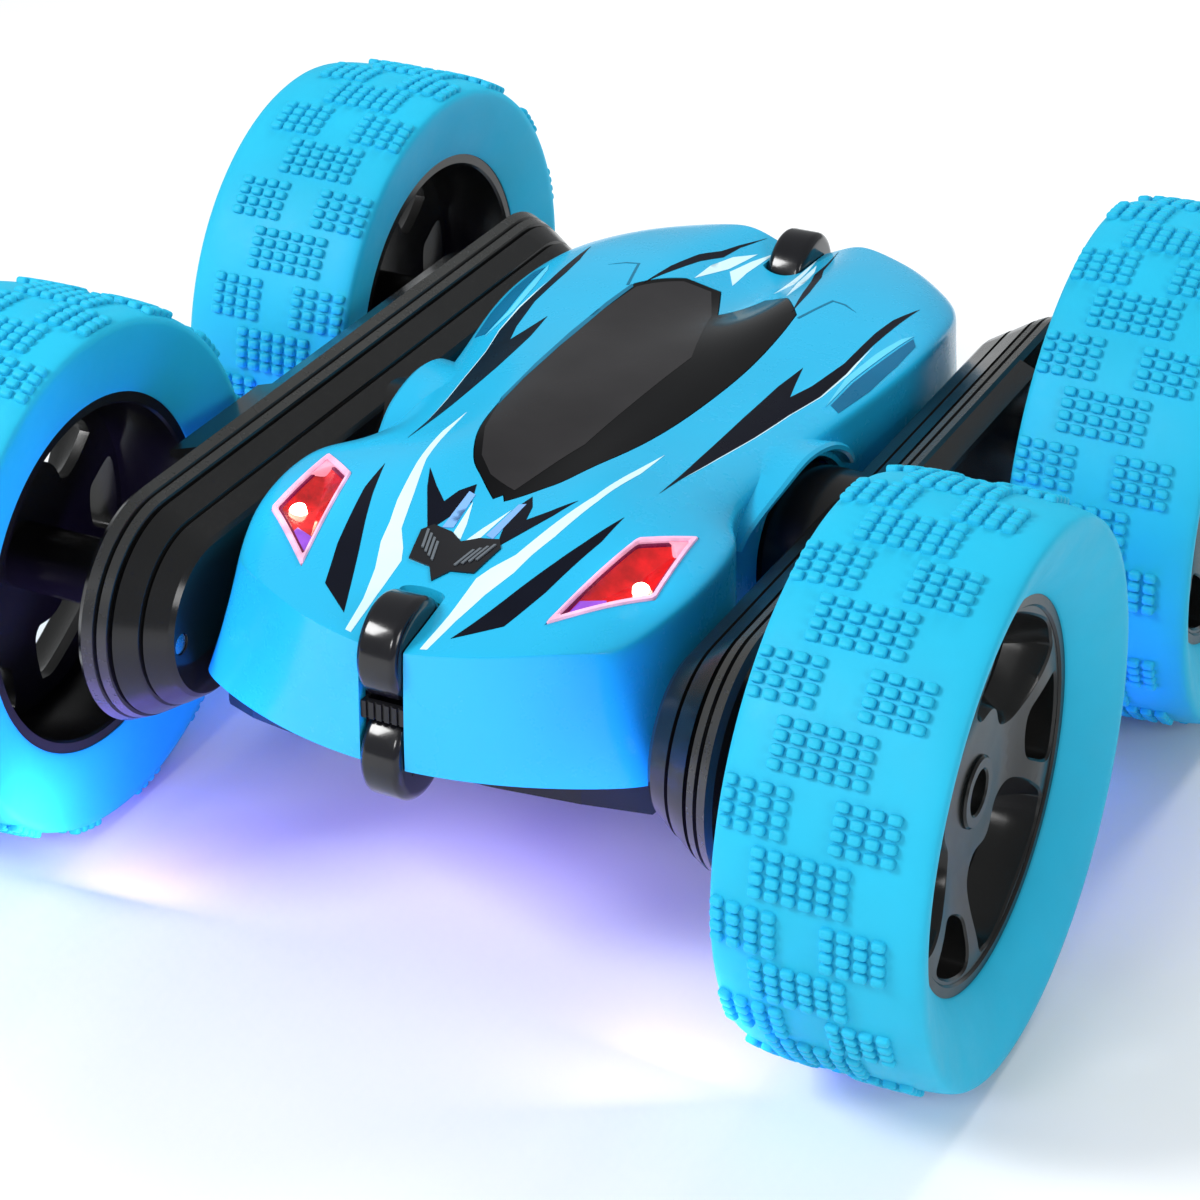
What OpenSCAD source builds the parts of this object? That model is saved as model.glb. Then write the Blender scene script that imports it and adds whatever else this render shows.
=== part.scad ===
/* [Wheels] */
// Outside diameter of a tyre
tyre_d = 75; // [70:0.5:78]
// Width of a tyre
tyre_w = 26.8; // [26.4:0.2:28]
// Distance between the middles of the left and right tyres
track = 131.8; // [131.6:0.1:134]
// Radius of the rim opening
rim_open_r = 23.6; // [23.6:0.1:24.6]

/* [Body] */
// Distance from the ground to the belly plate
belly_z = 21; // [20.6:0.1:21.4]
// Wall thickness of the painted upper shell
shell_t = 1.8; // [1.4:0.1:2]
// Half width of the slots that hold the guide rollers
slot_half = 3.2; // [3.2:0.1:3.6]

/* [Guide rollers] */
// Radius of a guide roller
roller_r = 6.8; // [6.4:0.1:6.9]
// Width of a guide roller
roller_w = 4.6; // [4:0.1:4.6]

/* [Gears] */
// Gear module, pitch diameter over teeth
gear_m = 0.9; // [0.9:0.1:0.9]
// Play between two meshed teeth
backlash = 0.16; // [0.12:0.01:0.2]

/* [Hidden] */
$fn = 64;
LEFT = 1;
RIGHT = -1;
FRONT = -1;
REAR = 1;
axle_z = tyre_d / 2;
wheel_x = track / 2;
pinion_teeth = 8;
gear_teeth = 20;
pinion_pr = gear_m * pinion_teeth / 2;
gear_pr = gear_m * gear_teeth / 2;
idler_1_y = pinion_pr + gear_pr;
idler_2_y = idler_1_y + 2 * gear_pr;
axle_y = idler_2_y + 2 * gear_pr;
run = 0.05;
gap = 0.2;
screw_r = 0.9;
screw_hole_r = 1.1;
screw_head_r = 1.9;
screw_head_h = 1.3;

// Arm, seen along X: x is the distance from the middle of the car
arm_in = 34.2;
arm_seam = 41;
arm_out = 46.2;
drum_y = 51.5;
cavity_r = 10.4;
gear_x = 39.6;
gear_w = 3.6;
post_r = 1.5;
axle_r = 2;
hub_r = 12.2;
hub_bore_r = 10.4;
hub_end = 12.8;
collar_x = 22;
collar_w = 1.4;
collar_r = 13;
flange_y = 38;
notch_y = -15;
rail_x = [49.3, 47.8];
idler_boss_r = 2.6;
axle_boss_r = 4;
wall_t = 1.8;
ARM_INNER = [[34.2, 10.7], [34.8, 11.3], [37.5, 13], [37.8, 12.4], [38.1, 13.3], [arm_seam - 0.1, 15.1]];
ARM_OUTER = [[arm_seam + 0.1, 15.2], [41.3, 14.7], [41.6, 15.5], [42.7, 16], [43, 15.5], [43.3, 16.2],
    [44.6, 16.8], [45.4, 16.2], [arm_out, 13.6]];
HOUSING_SCREWS = [for (end = [-1, 1]) each [[end * 60.4, 0], [end * 21.6, 8.8], [end * 21.6, -8.8]]];
housing_boss_r = 1.8;
housing_screw_r = 0.8;
housing_head_r = 1.4;

// Rim and tyre, across the width: u is the distance outboard of the tyre's middle
rim_in = -11;
rim_out = 8.4;
seat_r = rim_open_r + 1.4;
lip_r = rim_open_r + 2.6;
rim_hub_r = 4.7;
rim_hub_out = 6.5;
rim_hub_hole_r = 2.9;
lip_w = 1.2;
bead_gap = 0.1;
bead_lap = 1;
side_r = 35;
shoulder_power = 3;
side_taper = 1.6;

// Guide rollers: [y, z] of each middle
ROLLERS = [[-62.4, 47], [-62.4, 32.4], [63.4, 48.8], [63.4, 34]];
SLOT_Y = [-55.4, 55.8];
stub_r = 0.8;
cheek_t = 0.5;
rib_count = 5;

// Upper shell, station by station from the nose to the tail:
// [y on the centreline, y at the edge, half width, z on the centreline, z halfway out, z at the edge,
//  half width at the bottom edge]
STATIONS = [
    [-67.6, -56, 26, 49, 50, 50.6, 33.2],
    [-62, -50, 28.6, 50.2, 51, 51.4, 33.2],
    [-55, -43, 30.8, 52, 53.2, 52.4, 33.2],
    [-47, -35, 32, 54, 55.2, 53.4, 33.2],
    [-39, -28, 31.4, 54.8, 56.2, 53.8, 33],
    [-31, -23, 27.2, 55.6, 57, 54, 31],
    [-20, -15, 26.6, 56.6, 57.2, 54.2, 30],
    [-7, -6, 27, 57.2, 57, 54.4, 30],
    [6, 5, 27.4, 57.2, 56.8, 54.6, 30],
    [19, 15, 30, 56.4, 56.8, 55, 31.4],
    [31, 26, 32.4, 54.4, 57, 55.2, 33],
    [43, 37, 32.4, 52.2, 57, 55, 33.2],
    [54, 47, 31.6, 51.4, 56.4, 54.6, 33.2],
    [62, 54, 29.2, 51, 55.6, 54, 32],
    [67.6, 60, 24.6, 50.4, 54.4, 53.2, 28],
];
COLS = 8;
skirt_z = 32.4;
tail_out = 2.4;
WINDOW = [[0, -36], [7.2, -29.3], [10.3, -21.6], [12.3, -11.2], [13.5, 1.4], [14, 13], [13.2, 32], [8.7, 38.2],
    [0, 33.5], [-8.7, 38.2], [-13.2, 32], [-14, 13], [-13.5, 1.4], [-12.3, -11.2], [-10.3, -21.6],
    [-7.2, -29.3]];
LAMP = [[17.7, -56.6], [27.6, -47], [27.2, -33], [21, -38]];
BELLY = [[0, -66.6], [14, -64.4], [24, -60], [31.6, -54], [32, -36], [29, -24], [29, 18], [31.6, 34],
    [31.6, 52], [26, 60], [12, 66], [0, 67.6]];
belly_front = -44;
belly_rear = 50.6;
belly_half = 26.4;
arch_r = 16.2;
arch_x = [26.4, 33.4];
hub_hole_r = 12.9;
collar_hole_r = 13.3;
shell_boss_r = 2.6;
shell_boss_x = 21;
// Screws that hold the two shells together: [y, z of the screw's seat]
SHELL_BOSSES = [[-30, 23.6], [54.6, 27.4]];

// Inside the body
floor_t = 2;
cell_r = 7.1;
cell_half = 21.5;
CELL_Y = [27, 41.4];
cell_z = belly_z + floor_t + cell_r + 0.8;
hatch_x = 25;
HATCH_Y = [19.4, 49.2];
board_z = 30;
BOARD = [26, -46, -20];
board_post_x = 17;
SWITCH = [10, -30];
led_r = 2.4;
LED = [24, -43];
saddle_x = [14.6, 24];
saddle_t = 2;
pillar_y = 13.6;
pillar_w = 5.4;
cap_screw = [20.3, 16.3];
cap_foot_t = 2.6;
cap_step = 1.3;
lens_y = -40.5;
lens_half = 17.8;
RING_X = [17.6, 19.8];
ring_r = 12.6;
ring_w = 1.2;
brush_t = 0.8;

BODY_NODES = ["upper_shell", "windscreen", "lamp_lens_left", "lamp_lens_right", "headlamp_leds", "hood_vent",
    "front_roller_carrier", "rear_roller_carrier", "front_roller_upper", "front_roller_lower",
    "rear_roller_upper", "rear_roller_lower", "lower_shell", "bearing_cap_left", "bearing_cap_right",
    "battery_pack", "battery_cover", "circuit_board", "underglow_lens", "power_switch", "brush_blocks",
    "body_screws"];
ARM_NODES = ["inner_housing", "outer_housing", "housing_screws", "drive_motor", "motor_pinion", "slip_rings",
    "front_idler_inner", "front_idler_outer", "rear_idler_inner", "rear_idler_outer", "front_wheel_gear",
    "rear_wheel_gear", "front_axle", "rear_axle", "front_rim", "rear_rim", "front_tyre", "rear_tyre"];

// ---------- helpers ----------
// Extrudes a (y, z) outline along X from x0 to x1
module along_x(x0, x1) {
    translate([x0, 0, 0])
        rotate([90, 0, 90])
            linear_extrude(x1 - x0)
                children();
}

// A rod along X at (y, z)
module rod_x(x0, x1, r, y = 0, z = 0) {
    translate([x0, y, z])
        rotate([0, 90, 0])
            cylinder(h = x1 - x0, r = r);
}

// Turns a list of [x, r] about an axis along X at (y, z)
module turned_x(profile, y = 0, z = 0) {
    translate([0, y, z])
        rotate([0, 90, 0])
            rotate_extrude()
                polygon([for (p = profile) [p[1], p[0]]]);
}

// The half of turned_x that lies beyond y, towards the given end
module half_turned_x(profile, end, y, z) {
    translate([0, end * y, z])
        rotate([0, 90, 0])
            rotate([0, 0, end * 90 - 90])
                rotate_extrude(angle = 180)
                    polygon([for (p = profile) [p[1], p[0]]]);
}

module box(low, high) {
    translate(low)
        cube(high - low);
}

// Right-hand parts are the left-hand ones mirrored
module on_side(side) {
    if (side == LEFT) children();
    else mirror([1, 0, 0]) children();
}

// An upright screw with its head seated at z, on top or, where head_up is false, underneath
module screw_z(x, y, z, length, head_up) {
    translate([x, y, z])
        mirror([0, 0, head_up ? 0 : 1]) {
            cylinder(h = screw_head_h, r = screw_head_r);
            translate([0, 0, -length])
                cylinder(h = length + 0.1, r = screw_r);
        }
}

// ---------- gears ----------
// Half the angle of a tooth at radius r, where the tooth is half_thick wide each way at the pitch radius pr
function involute(a) = tan(a) * 180 / PI - a;
function flank(r, pr, half_thick) =
    let (rb = pr * cos(20), a = r > rb ? acos(rb / r) : 0)
    half_thick / pr * 180 / PI + involute(20) - involute(a);

function tooth(teeth, k, phase) =
    let (
        pr = gear_m * teeth / 2,
        half = PI * gear_m / 4 - backlash / 2,
        tip = pr + 0.85 * gear_m,
        root = pr - 1.15 * gear_m,
        mid = phase + k * 360 / teeth,
        rs = [root, max(root, pr * cos(20)), pr, tip],
        up = [for (r = rs) [r, -flank(r, pr, half)]],
        down = [for (i = [len(rs) - 1:-1:0]) [rs[i], flank(rs[i], pr, half)]]
    )
    [for (p = concat(up, down)) [p[0] * cos(mid + p[1]), p[0] * sin(mid + p[1])]];

module gear(teeth, y, phase, bore) {
    translate([0, y, axle_z])
        along_x(gear_x, gear_x + gear_w)
            difference() {
                polygon([for (k = [0:teeth - 1]) each tooth(teeth, k, phase)]);
                circle(bore);
            }
}

// ---------- upper shell surface ----------
function blend3(u, a, b, c) = u < 0.5 ? a + (b - a) * u * 2 : b + (c - b) * (u * 2 - 1);

function top_point(s, j, t) =
    let (u = (j - COLS / 2) / (COLS / 2), v = abs(u))
    [u * (s[2] - t), (s[0] + (s[1] - s[0]) * v * v) * (1 - t / 68), blend3(v, s[3], s[4], s[5]) - t];

function low_point(s, j, t, z) =
    let (u = (j - COLS / 2) / (COLS / 2), v = abs(u), grow = s[0] > 0 ? tail_out : 0)
    [u * (s[6] - t), (s[0] + (s[1] - s[0]) * v * v) * (1 - t / 68) + grow * v * s[0] / 68, z];

// A closed slab under the shell's surface, t inside it, down to z
module shell_slab(t, z) {
    rows = len(STATIONS);
    row = COLS + 1;
    top = [for (s = STATIONS, j = [0:COLS]) top_point(s, j, t)];
    low = [for (s = STATIONS, j = [0:COLS]) low_point(s, j, t, z)];
    n = len(top);
    function at(i, j) = i * row + j;
    top_faces = [for (i = [0:rows - 2], j = [0:COLS - 1]) each
        [[at(i, j), at(i + 1, j), at(i + 1, j + 1)], [at(i, j), at(i + 1, j + 1), at(i, j + 1)]]];
    low_faces = [for (i = [0:rows - 2], j = [0:COLS - 1]) each
        [[n + at(i, j), n + at(i + 1, j + 1), n + at(i + 1, j)],
         [n + at(i, j), n + at(i, j + 1), n + at(i + 1, j + 1)]]];
    ends = [for (j = [0:COLS - 1]) each
        [[at(0, j), at(0, j + 1), n + at(0, j + 1)], [at(0, j), n + at(0, j + 1), n + at(0, j)],
         [at(rows - 1, j + 1), at(rows - 1, j), n + at(rows - 1, j)],
         [at(rows - 1, j + 1), n + at(rows - 1, j), n + at(rows - 1, j + 1)]]];
    sides = [for (i = [0:rows - 2]) each
        [[at(i + 1, 0), at(i, 0), n + at(i, 0)], [at(i + 1, 0), n + at(i, 0), n + at(i + 1, 0)],
         [at(i, COLS), at(i + 1, COLS), n + at(i + 1, COLS)],
         [at(i, COLS), n + at(i + 1, COLS), n + at(i, COLS)]]];
    polyhedron(points = concat(top, low), faces = concat(top_faces, low_faces, ends, sides));
}

module shell_skin(z) {
    difference() {
        shell_slab(0, z);
        shell_slab(shell_t, z - 1);
    }
}

module roof_prism(outline, grow) {
    translate([0, 0, 44])
        linear_extrude(20)
            offset(delta = grow)
                polygon(outline);
}

module hub_clearance(x0, x1, r) {
    for (side = [LEFT, RIGHT])
        on_side(side)
            rod_x(x0, x1, r, 0, axle_z);
}

module roller_slots(half) {
    box([-half, -70, 20], [half, SLOT_Y[0], 60]);
    box([-half, SLOT_Y[1], 20], [half, 74, 60]);
}

// ---------- body ----------
module upper_shell() {
    color("deepskyblue")
        difference() {
            union() {
                shell_skin(skirt_z);
                for (side = [LEFT, RIGHT])
                    on_side(side) {
                        rod_x(arch_x[0], arch_x[1], arch_r, 0, axle_z);
                        for (b = SHELL_BOSSES)
                            translate([shell_boss_x, b[0], skirt_z + 1])
                                cylinder(h = 53.9 - skirt_z, r = shell_boss_r);
                    }
            }
            hub_clearance(20, 40, hub_hole_r);
            for (side = [LEFT, RIGHT])
                on_side(side) {
                    box([25, -18, 15], [36, 18, skirt_z + 2]);
                    for (b = SHELL_BOSSES)
                        translate([shell_boss_x, b[0], skirt_z])
                            cylinder(h = 12, r = screw_r);
                    roof_prism(LAMP, 0);
                }
            roof_prism(WINDOW, 0);
            roller_slots(slot_half);
        }
}

module windscreen() {
    color("dimgray")
        intersection() {
            shell_skin(skirt_z);
            roof_prism(WINDOW, -0.12);
        }
}

module lamp_lens(side) {
    color("crimson")
        on_side(side)
            intersection() {
                shell_skin(skirt_z);
                roof_prism(LAMP, -0.12);
            }
}

module headlamp_leds() {
    color("white")
        for (side = [LEFT, RIGHT])
            on_side(side)
                translate([LED[0], LED[1], 0]) {
                    translate([0, 0, 44])
                        cylinder(h = 3, r = led_r);
                    translate([0, 0, 47])
                        sphere(led_r);
                    for (dx = [-1.2, 1.2])
                        translate([dx, 0, board_z + 1.6])
                            cylinder(h = 44.1 - board_z - 1.6, r = 0.3);
                }
}

module hood_vent() {
    color("black")
        difference() {
            union() {
                box([-5.4, -54.6, 50], [5.4, -49, 55.2]);
                box([-3.6, -55.2, 50], [3.6, -48, 54.8]);
            }
            shell_slab(-0.02, skirt_z);
            for (k = [-2:2])
                box([k * 1.7 - 0.3, -55.5, 54.4], [k * 1.7 + 0.3, -51, 56]);
        }
}

// A clip that lines one slot and carries the two rollers of that end. It is written for the rear, and mirrored
// for the front
module roller_carrier(end) {
    pair = end == FRONT ? [ROLLERS[0], ROLLERS[1]] : [ROLLERS[2], ROLLERS[3]];
    mid = (pair[0][1] + pair[1][1]) / 2;
    half = slot_half - 0.1;
    tall = 9.2;
    back = abs(end == FRONT ? SLOT_Y[0] : SLOT_Y[1]) + (end == FRONT ? -0.6 : 0.3);
    roof = mid + tall - 2;
    face = 65.8;
    bar = [66.5, 67.5];
    color("#202022")
        difference() {
            mirror([0, end == FRONT ? 1 : 0, 0])
                union() {
                    for (s = [0, 1])
                        mirror([s, 0, 0]) {
                            box([half - cheek_t, back, mid - tall], [half, face, mid + tall]);
                            box([half - cheek_t, face - 0.1, mid - 1.2], [half, bar[1], mid + 1.2]);
                        }
                    box([-half, back - 1.6, mid - tall], [half, back + 0.01, roof]);
                    difference() {
                        box([-half, bar[0], mid - 1.2], [half, bar[1], mid + 1.2]);
                        for (k = [0:rib_count - 1])
                            box([-2.4 + k * 1.1, bar[1] - 0.3, mid - 2], [-2 + k * 1.1, bar[1] + 1, mid + 2]);
                    }
                }
            for (p = pair)
                rod_x(-5, 5, stub_r + run, p[0], p[1]);
        }
}

// A guide roller with rounded shoulders, a ring groove in each side and stub axles
module roller(k) {
    h = roller_w / 2;
    e = 1.4;
    arc = [for (a = [0:15:90]) [h - e + e * sin(a), roller_r - e + e * cos(a)]];
    half = concat(arc, [[h, 4.6], [h - 0.4, 4.4], [h - 0.4, 3], [h, 2.8], [h, stub_r],
        [slot_half - 0.15, stub_r], [slot_half - 0.15, 0]]);
    other = [for (i = [len(half) - 1:-1:0]) [-half[i][0], half[i][1]]];
    color("#18181a")
        turned_x(concat(half, other), ROLLERS[k][0], ROLLERS[k][1]);
}

function full(outline) = concat(outline, [for (i = [len(outline) - 2:-1:1]) [-outline[i][0], outline[i][1]]]);

// The pan under the skirt, t inside its outer surface: its plan, side view and front view in one solid
module belly_solid(t, top) {
    low = belly_z + t;
    rise = skirt_z - belly_z;
    intersection() {
        translate([0, 0, low])
            linear_extrude(top - low)
                polygon([for (p = full(BELLY)) [p[0] * (1 - t / 30), p[1] * (1 - t / 66)]]);
        along_x(-40, 40)
            polygon([[-67.4 + 2 * t, skirt_z], [belly_front + t, low], [belly_rear - t, low],
                [68 - 2 * t, skirt_z], [68 - 2 * t, top + 1], [-67.4 + 2 * t, top + 1]]);
        translate([0, 80, 0])
            rotate([90, 0, 0])
                linear_extrude(160)
                    polygon([[-belly_half + t / 2, low], [belly_half - t / 2, low], [33 - t, low + rise * 0.6],
                        [33 - t, top + 1], [t - 33, top + 1], [t - 33, low + rise * 0.6]]);
    }
}

module lower_shell() {
    top = skirt_z - gap;
    fz = belly_z + floor_t;
    color("#1c1c20")
        difference() {
            union() {
                difference() {
                    belly_solid(0, top);
                    belly_solid(floor_t, top + 1);
                }
                for (side = [LEFT, RIGHT])
                    on_side(side) {
                        for (x = saddle_x)
                            box([x, -pillar_y - pillar_w, fz - 0.1],
                                [x + saddle_t, pillar_y + pillar_w, axle_z - 0.1]);
                        for (y = [-pillar_y - pillar_w, pillar_y])
                            box([saddle_x[0], y, fz - 0.1],
                                [saddle_x[1] + saddle_t, y + pillar_w, axle_z - 0.1]);
                        for (b = SHELL_BOSSES)
                            translate([shell_boss_x, b[0], b[1] - 1.5])
                                cylinder(h = skirt_z + 0.9 - b[1] + 1.5, r = 3);
                        for (y = [BOARD[1] + 3, BOARD[2] - 3])
                            translate([board_post_x, y, fz - 0.1])
                                cylinder(h = board_z - fz + 0.1, r = 1.8);
                    }
            }
            hub_clearance(hub_end - 0.6, 40, hub_r + run);
            hub_clearance(saddle_x[0] + saddle_t + 0.01, saddle_x[1] - 0.01, collar_hole_r);
            hub_clearance(saddle_x[1] + saddle_t + 0.01, 40, hub_hole_r);
            for (side = [LEFT, RIGHT])
                on_side(side) {
                    for (b = SHELL_BOSSES) {
                        translate([shell_boss_x, b[0], belly_z - 1])
                            cylinder(h = b[1] - belly_z + 1, r = screw_head_r + gap);
                        translate([shell_boss_x, b[0], belly_z])
                            cylinder(h = 20, r = screw_hole_r);
                    }
                    for (y = [-cap_screw[1], cap_screw[1]])
                        translate([cap_screw[0], y, axle_z - 8])
                            cylinder(h = 9, r = screw_r);
                }
            box([-hatch_x, HATCH_Y[0], belly_z - 1], [hatch_x, HATCH_Y[1], fz + 1]);
            box([SWITCH[0] - 2, SWITCH[1] - 4, belly_z - 1], [SWITCH[0] + 2, SWITCH[1] + 4, fz + 1]);
            box([-lens_half - gap, lens_y - 2.5, belly_z - 1], [lens_half + gap, lens_y + 2.5, fz + 1]);
            roller_slots(slot_half);
            box([-slot_half, SLOT_Y[0] - 0.1, belly_z - 1], [slot_half, SLOT_Y[0] + 3, 40]);
            box([-slot_half, SLOT_Y[1] - 3, belly_z - 1], [slot_half, SLOT_Y[1] + 0.1, 40]);
        }
}

// The upper half of one arm's bearing, screwed down on the two pillars
module bearing_cap(side) {
    x0 = saddle_x[0];
    x1 = saddle_x[1] + saddle_t;
    color("#2a2a2e")
        on_side(side)
            difference() {
                union() {
                    for (x = saddle_x)
                        box([x, -pillar_y, axle_z + 0.1], [x + saddle_t, pillar_y, axle_z + 13.6]);
                    box([x0, -8, axle_z + 13], [x1, 8, axle_z + 14.2]);
                    for (y = [-pillar_y - pillar_w, pillar_y])
                        box([x0, y, axle_z + 0.1], [x1, y + pillar_w, axle_z + cap_foot_t]);
                }
                box([x1 - cap_step, -20, axle_z + 5], [x1 + 1, 20, axle_z + 20]);
                rod_x(x0 - 1, x1 + 1, hub_r + run, 0, axle_z);
                rod_x(x0 + saddle_t + 0.01, saddle_x[1] - 0.01, collar_hole_r, 0, axle_z);
                for (y = [-cap_screw[1], cap_screw[1]])
                    translate([cap_screw[0], y, axle_z - 1])
                        cylinder(h = 9, r = screw_hole_r);
            }
}

module battery_pack() {
    color("mediumblue")
        union() {
            for (y = CELL_Y)
                rod_x(-cell_half, cell_half, cell_r, y, cell_z);
            box([-cell_half, CELL_Y[0], cell_z - 4], [cell_half, CELL_Y[1], cell_z + 4]);
        }
}

module battery_cover() {
    color("#242428")
        difference() {
            box([-hatch_x + gap, HATCH_Y[0] + gap, belly_z], [hatch_x - gap, HATCH_Y[1] - gap, belly_z + 1.6]);
            for (y = [24:5:44])
                box([-14, y, belly_z - 1], [14, y + 1.6, belly_z + 0.4]);
        }
}

module circuit_board() {
    color("darkgreen")
        difference() {
            union() {
                box([-BOARD[0], BOARD[1], board_z], [BOARD[0], BOARD[2], board_z + 1.6]);
                box([-4, -36, board_z + 1.5], [4, -28, board_z + 2.8]);
                box([-18, -40, board_z + 1.5], [-12, -26, board_z + 3.4]);
                box([11, -27, board_z + 1.5], [19, -23, board_z + 7]);
                box([SWITCH[0] - 4, SWITCH[1] - 6, board_z - 4],
                    [SWITCH[0] + 4, SWITCH[1] + 6, board_z + 0.1]);
            }
            for (side = [LEFT, RIGHT])
                on_side(side)
                    translate([shell_boss_x, SHELL_BOSSES[0][0], board_z - 1])
                        cylinder(h = 4, r = 3.4);
        }
}

module underglow_lens() {
    color("mediumpurple")
        box([-lens_half, lens_y - 2.3, belly_z - 0.4], [lens_half, lens_y + 2.3, belly_z + 1.6]);
}

module power_switch() {
    color("gainsboro")
        box([SWITCH[0] - 1.4, SWITCH[1] - 3.4, belly_z - 0.6],
            [SWITCH[0] + 1.4, SWITCH[1] - 0.6, board_z - 4.3]);
}

module brush_blocks() {
    color("saddlebrown")
        for (side = [LEFT, RIGHT])
            on_side(side) {
                box([17, -4, belly_z + floor_t], [21.8, 4, belly_z + floor_t + 1.3]);
                for (x = RING_X)
                    box([x + 0.2, -2, belly_z + floor_t + 1.2],
                        [x + 0.2 + brush_t, 2, axle_z - ring_r - 0.15]);
            }
}

module body_screws() {
    color("silver")
        for (side = [LEFT, RIGHT])
            on_side(side) {
                for (b = SHELL_BOSSES)
                    screw_z(shell_boss_x, b[0], b[1] - 0.01, 16, false);
                for (y = [-cap_screw[1], cap_screw[1]])
                    screw_z(cap_screw[0], y, axle_z + cap_foot_t, 9, true);
            }
}

// ---------- arms ----------
// The bar and the two end drums of an arm, both following one profile of [x, half height]
module arm_solid(profile) {
    x0 = profile[0][0];
    x1 = profile[len(profile) - 1][0];
    for (end = [FRONT, REAR])
        half_turned_x(concat([[x0, 0]], profile, [[x1, 0]]), end, drum_y, axle_z);
    mirrored = [for (i = [len(profile) - 1:-1:0]) [profile[i][0], -profile[i][1]]];
    translate([0, drum_y, axle_z])
        rotate([90, 0, 0])
            linear_extrude(2 * drum_y)
                polygon(concat(profile, mirrored));
}

module arm_cavity(x0, x1, r) {
    for (end = [FRONT, REAR])
        half_turned_x([[x0, 0], [x0, r], [x1, r], [x1, 0]], end, drum_y, axle_z);
    box([x0, -drum_y, axle_z - r], [x1, drum_y, axle_z + r]);
}

module housing_rods(x0, x1, r) {
    for (p = HOUSING_SCREWS)
        rod_x(x0, x1, r, p[0], axle_z + p[1]);
}

module inner_housing(side) {
    color("#19191c")
        on_side(side)
            difference() {
                union() {
                    difference() {
                        arm_solid(ARM_INNER);
                        arm_cavity(arm_in + wall_t, arm_seam + 1, cavity_r);
                    }
                    rod_x(hub_end, arm_in + 2.2, hub_r, 0, axle_z);
                    rod_x(collar_x, collar_x + collar_w, collar_r, 0, axle_z);
                    for (end = [FRONT, REAR]) {
                        for (y = [idler_1_y, idler_2_y]) {
                            rod_x(arm_in + 1.7, gear_x - 0.3, idler_boss_r, end * y, axle_z);
                            rod_x(arm_in + 1.7, gear_x + gear_w + 1, post_r, end * y, axle_z);
                        }
                        rod_x(arm_in + 1.7, gear_x - 0.3, axle_boss_r, end * axle_y, axle_z);
                    }
                    housing_rods(arm_in + 1.7, arm_seam - 0.1, housing_boss_r);
                }
                rod_x(hub_end - 1, arm_in + 4.6, hub_bore_r, 0, axle_z);
                for (end = [FRONT, REAR])
                    rod_x(arm_in + 0.9, arm_seam, axle_r + run, end * axle_y, axle_z);
                housing_rods(arm_in - 1, arm_seam, 1);
                housing_rods(arm_in - 1, arm_in + 1.6, housing_head_r + 0.1);
            }
}

// A slanted rail that stands out over the recess of the outer face
module rail(y0, y1, x1) {
    for (s = [1, -1])
        translate([0, y1, axle_z])
            rotate([90, 0, 0])
                linear_extrude(y1 - y0)
                    polygon([[44.5, s * 16.7], [x1, s * 15.2], [x1, s * 14.2], [44.5, s * 13.4]]);
}

module outer_housing(side) {
    color("#19191c")
        on_side(side)
            difference() {
                union() {
                    difference() {
                        union() {
                            arm_solid(ARM_OUTER);
                            rail(-flange_y, notch_y, rail_x[0]);
                            rail(notch_y, flange_y, rail_x[1]);
                        }
                        arm_cavity(arm_seam - 1, arm_out - wall_t, cavity_r);
                    }
                    for (end = [FRONT, REAR]) {
                        rod_x(gear_x + gear_w + 0.3, arm_out + 3.4, axle_boss_r, end * axle_y, axle_z);
                        for (y = [idler_1_y, idler_2_y])
                            rod_x(gear_x + gear_w + 0.3, arm_out - 1, idler_boss_r, end * y, axle_z);
                    }
                    housing_rods(arm_seam + 0.1, arm_out - 1, housing_boss_r);
                    rod_x(gear_x + gear_w + 0.3, arm_out - 1, idler_boss_r, 0, axle_z);
                }
                for (end = [FRONT, REAR]) {
                    rod_x(arm_seam, arm_out + 4, axle_r + run, end * axle_y, axle_z);
                    for (y = [idler_1_y, idler_2_y])
                        rod_x(arm_seam, arm_out - 0.8, post_r + run, end * y, axle_z);
                }
                housing_rods(arm_seam - 1, arm_out - 1.2, housing_screw_r);
                rod_x(arm_seam, arm_out - 0.8, 1.05, 0, axle_z);
            }
}

module housing_screws(side) {
    color("silver")
        on_side(side) {
            housing_rods(arm_in + 0.3, arm_in + 1.6, housing_head_r);
            housing_rods(arm_in + 1.5, arm_out - 1.4, housing_screw_r);
        }
}

module drive_motor(side) {
    color("lightgray")
        on_side(side)
            union() {
                intersection() {
                    rod_x(hub_end + 1.4, gear_x - 1, 10, 0, axle_z);
                    box([0, -20, axle_z - 7.6], [60, 20, axle_z + 7.6]);
                }
                rod_x(gear_x - 1.1, gear_x - 0.3, 3, 0, axle_z);
                rod_x(gear_x - 0.4, gear_x + gear_w + 1.2, 1, 0, axle_z);
                for (s = [-1, 1])
                    box([hub_end + 0.2, s * 4 - 0.6, axle_z - 1.5], [hub_end + 1.5, s * 4 + 0.6, axle_z + 1.5]);
            }
}

module motor_pinion(side) {
    color("goldenrod")
        on_side(side)
            gear(pinion_teeth, 0, 0, 1);
}

module slip_rings(side) {
    color("gold")
        on_side(side)
            for (x = RING_X)
                translate([x, 0, axle_z])
                    rotate([0, 90, 0])
                        difference() {
                            cylinder(h = ring_w, r = ring_r);
                            translate([0, 0, -1])
                                cylinder(h = 4, r = hub_r);
                        }
}

// Meshed teeth alternate: every second gear of the train starts on a gap
module idler_gear(side, end, outer) {
    color("ivory")
        on_side(side)
            gear(gear_teeth, end * (outer ? idler_2_y : idler_1_y), outer ? 0 : 9, post_r + run);
}

module wheel_gear(side, end) {
    color("ivory")
        on_side(side)
            gear(gear_teeth, end * axle_y, 9, axle_r);
}

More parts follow.
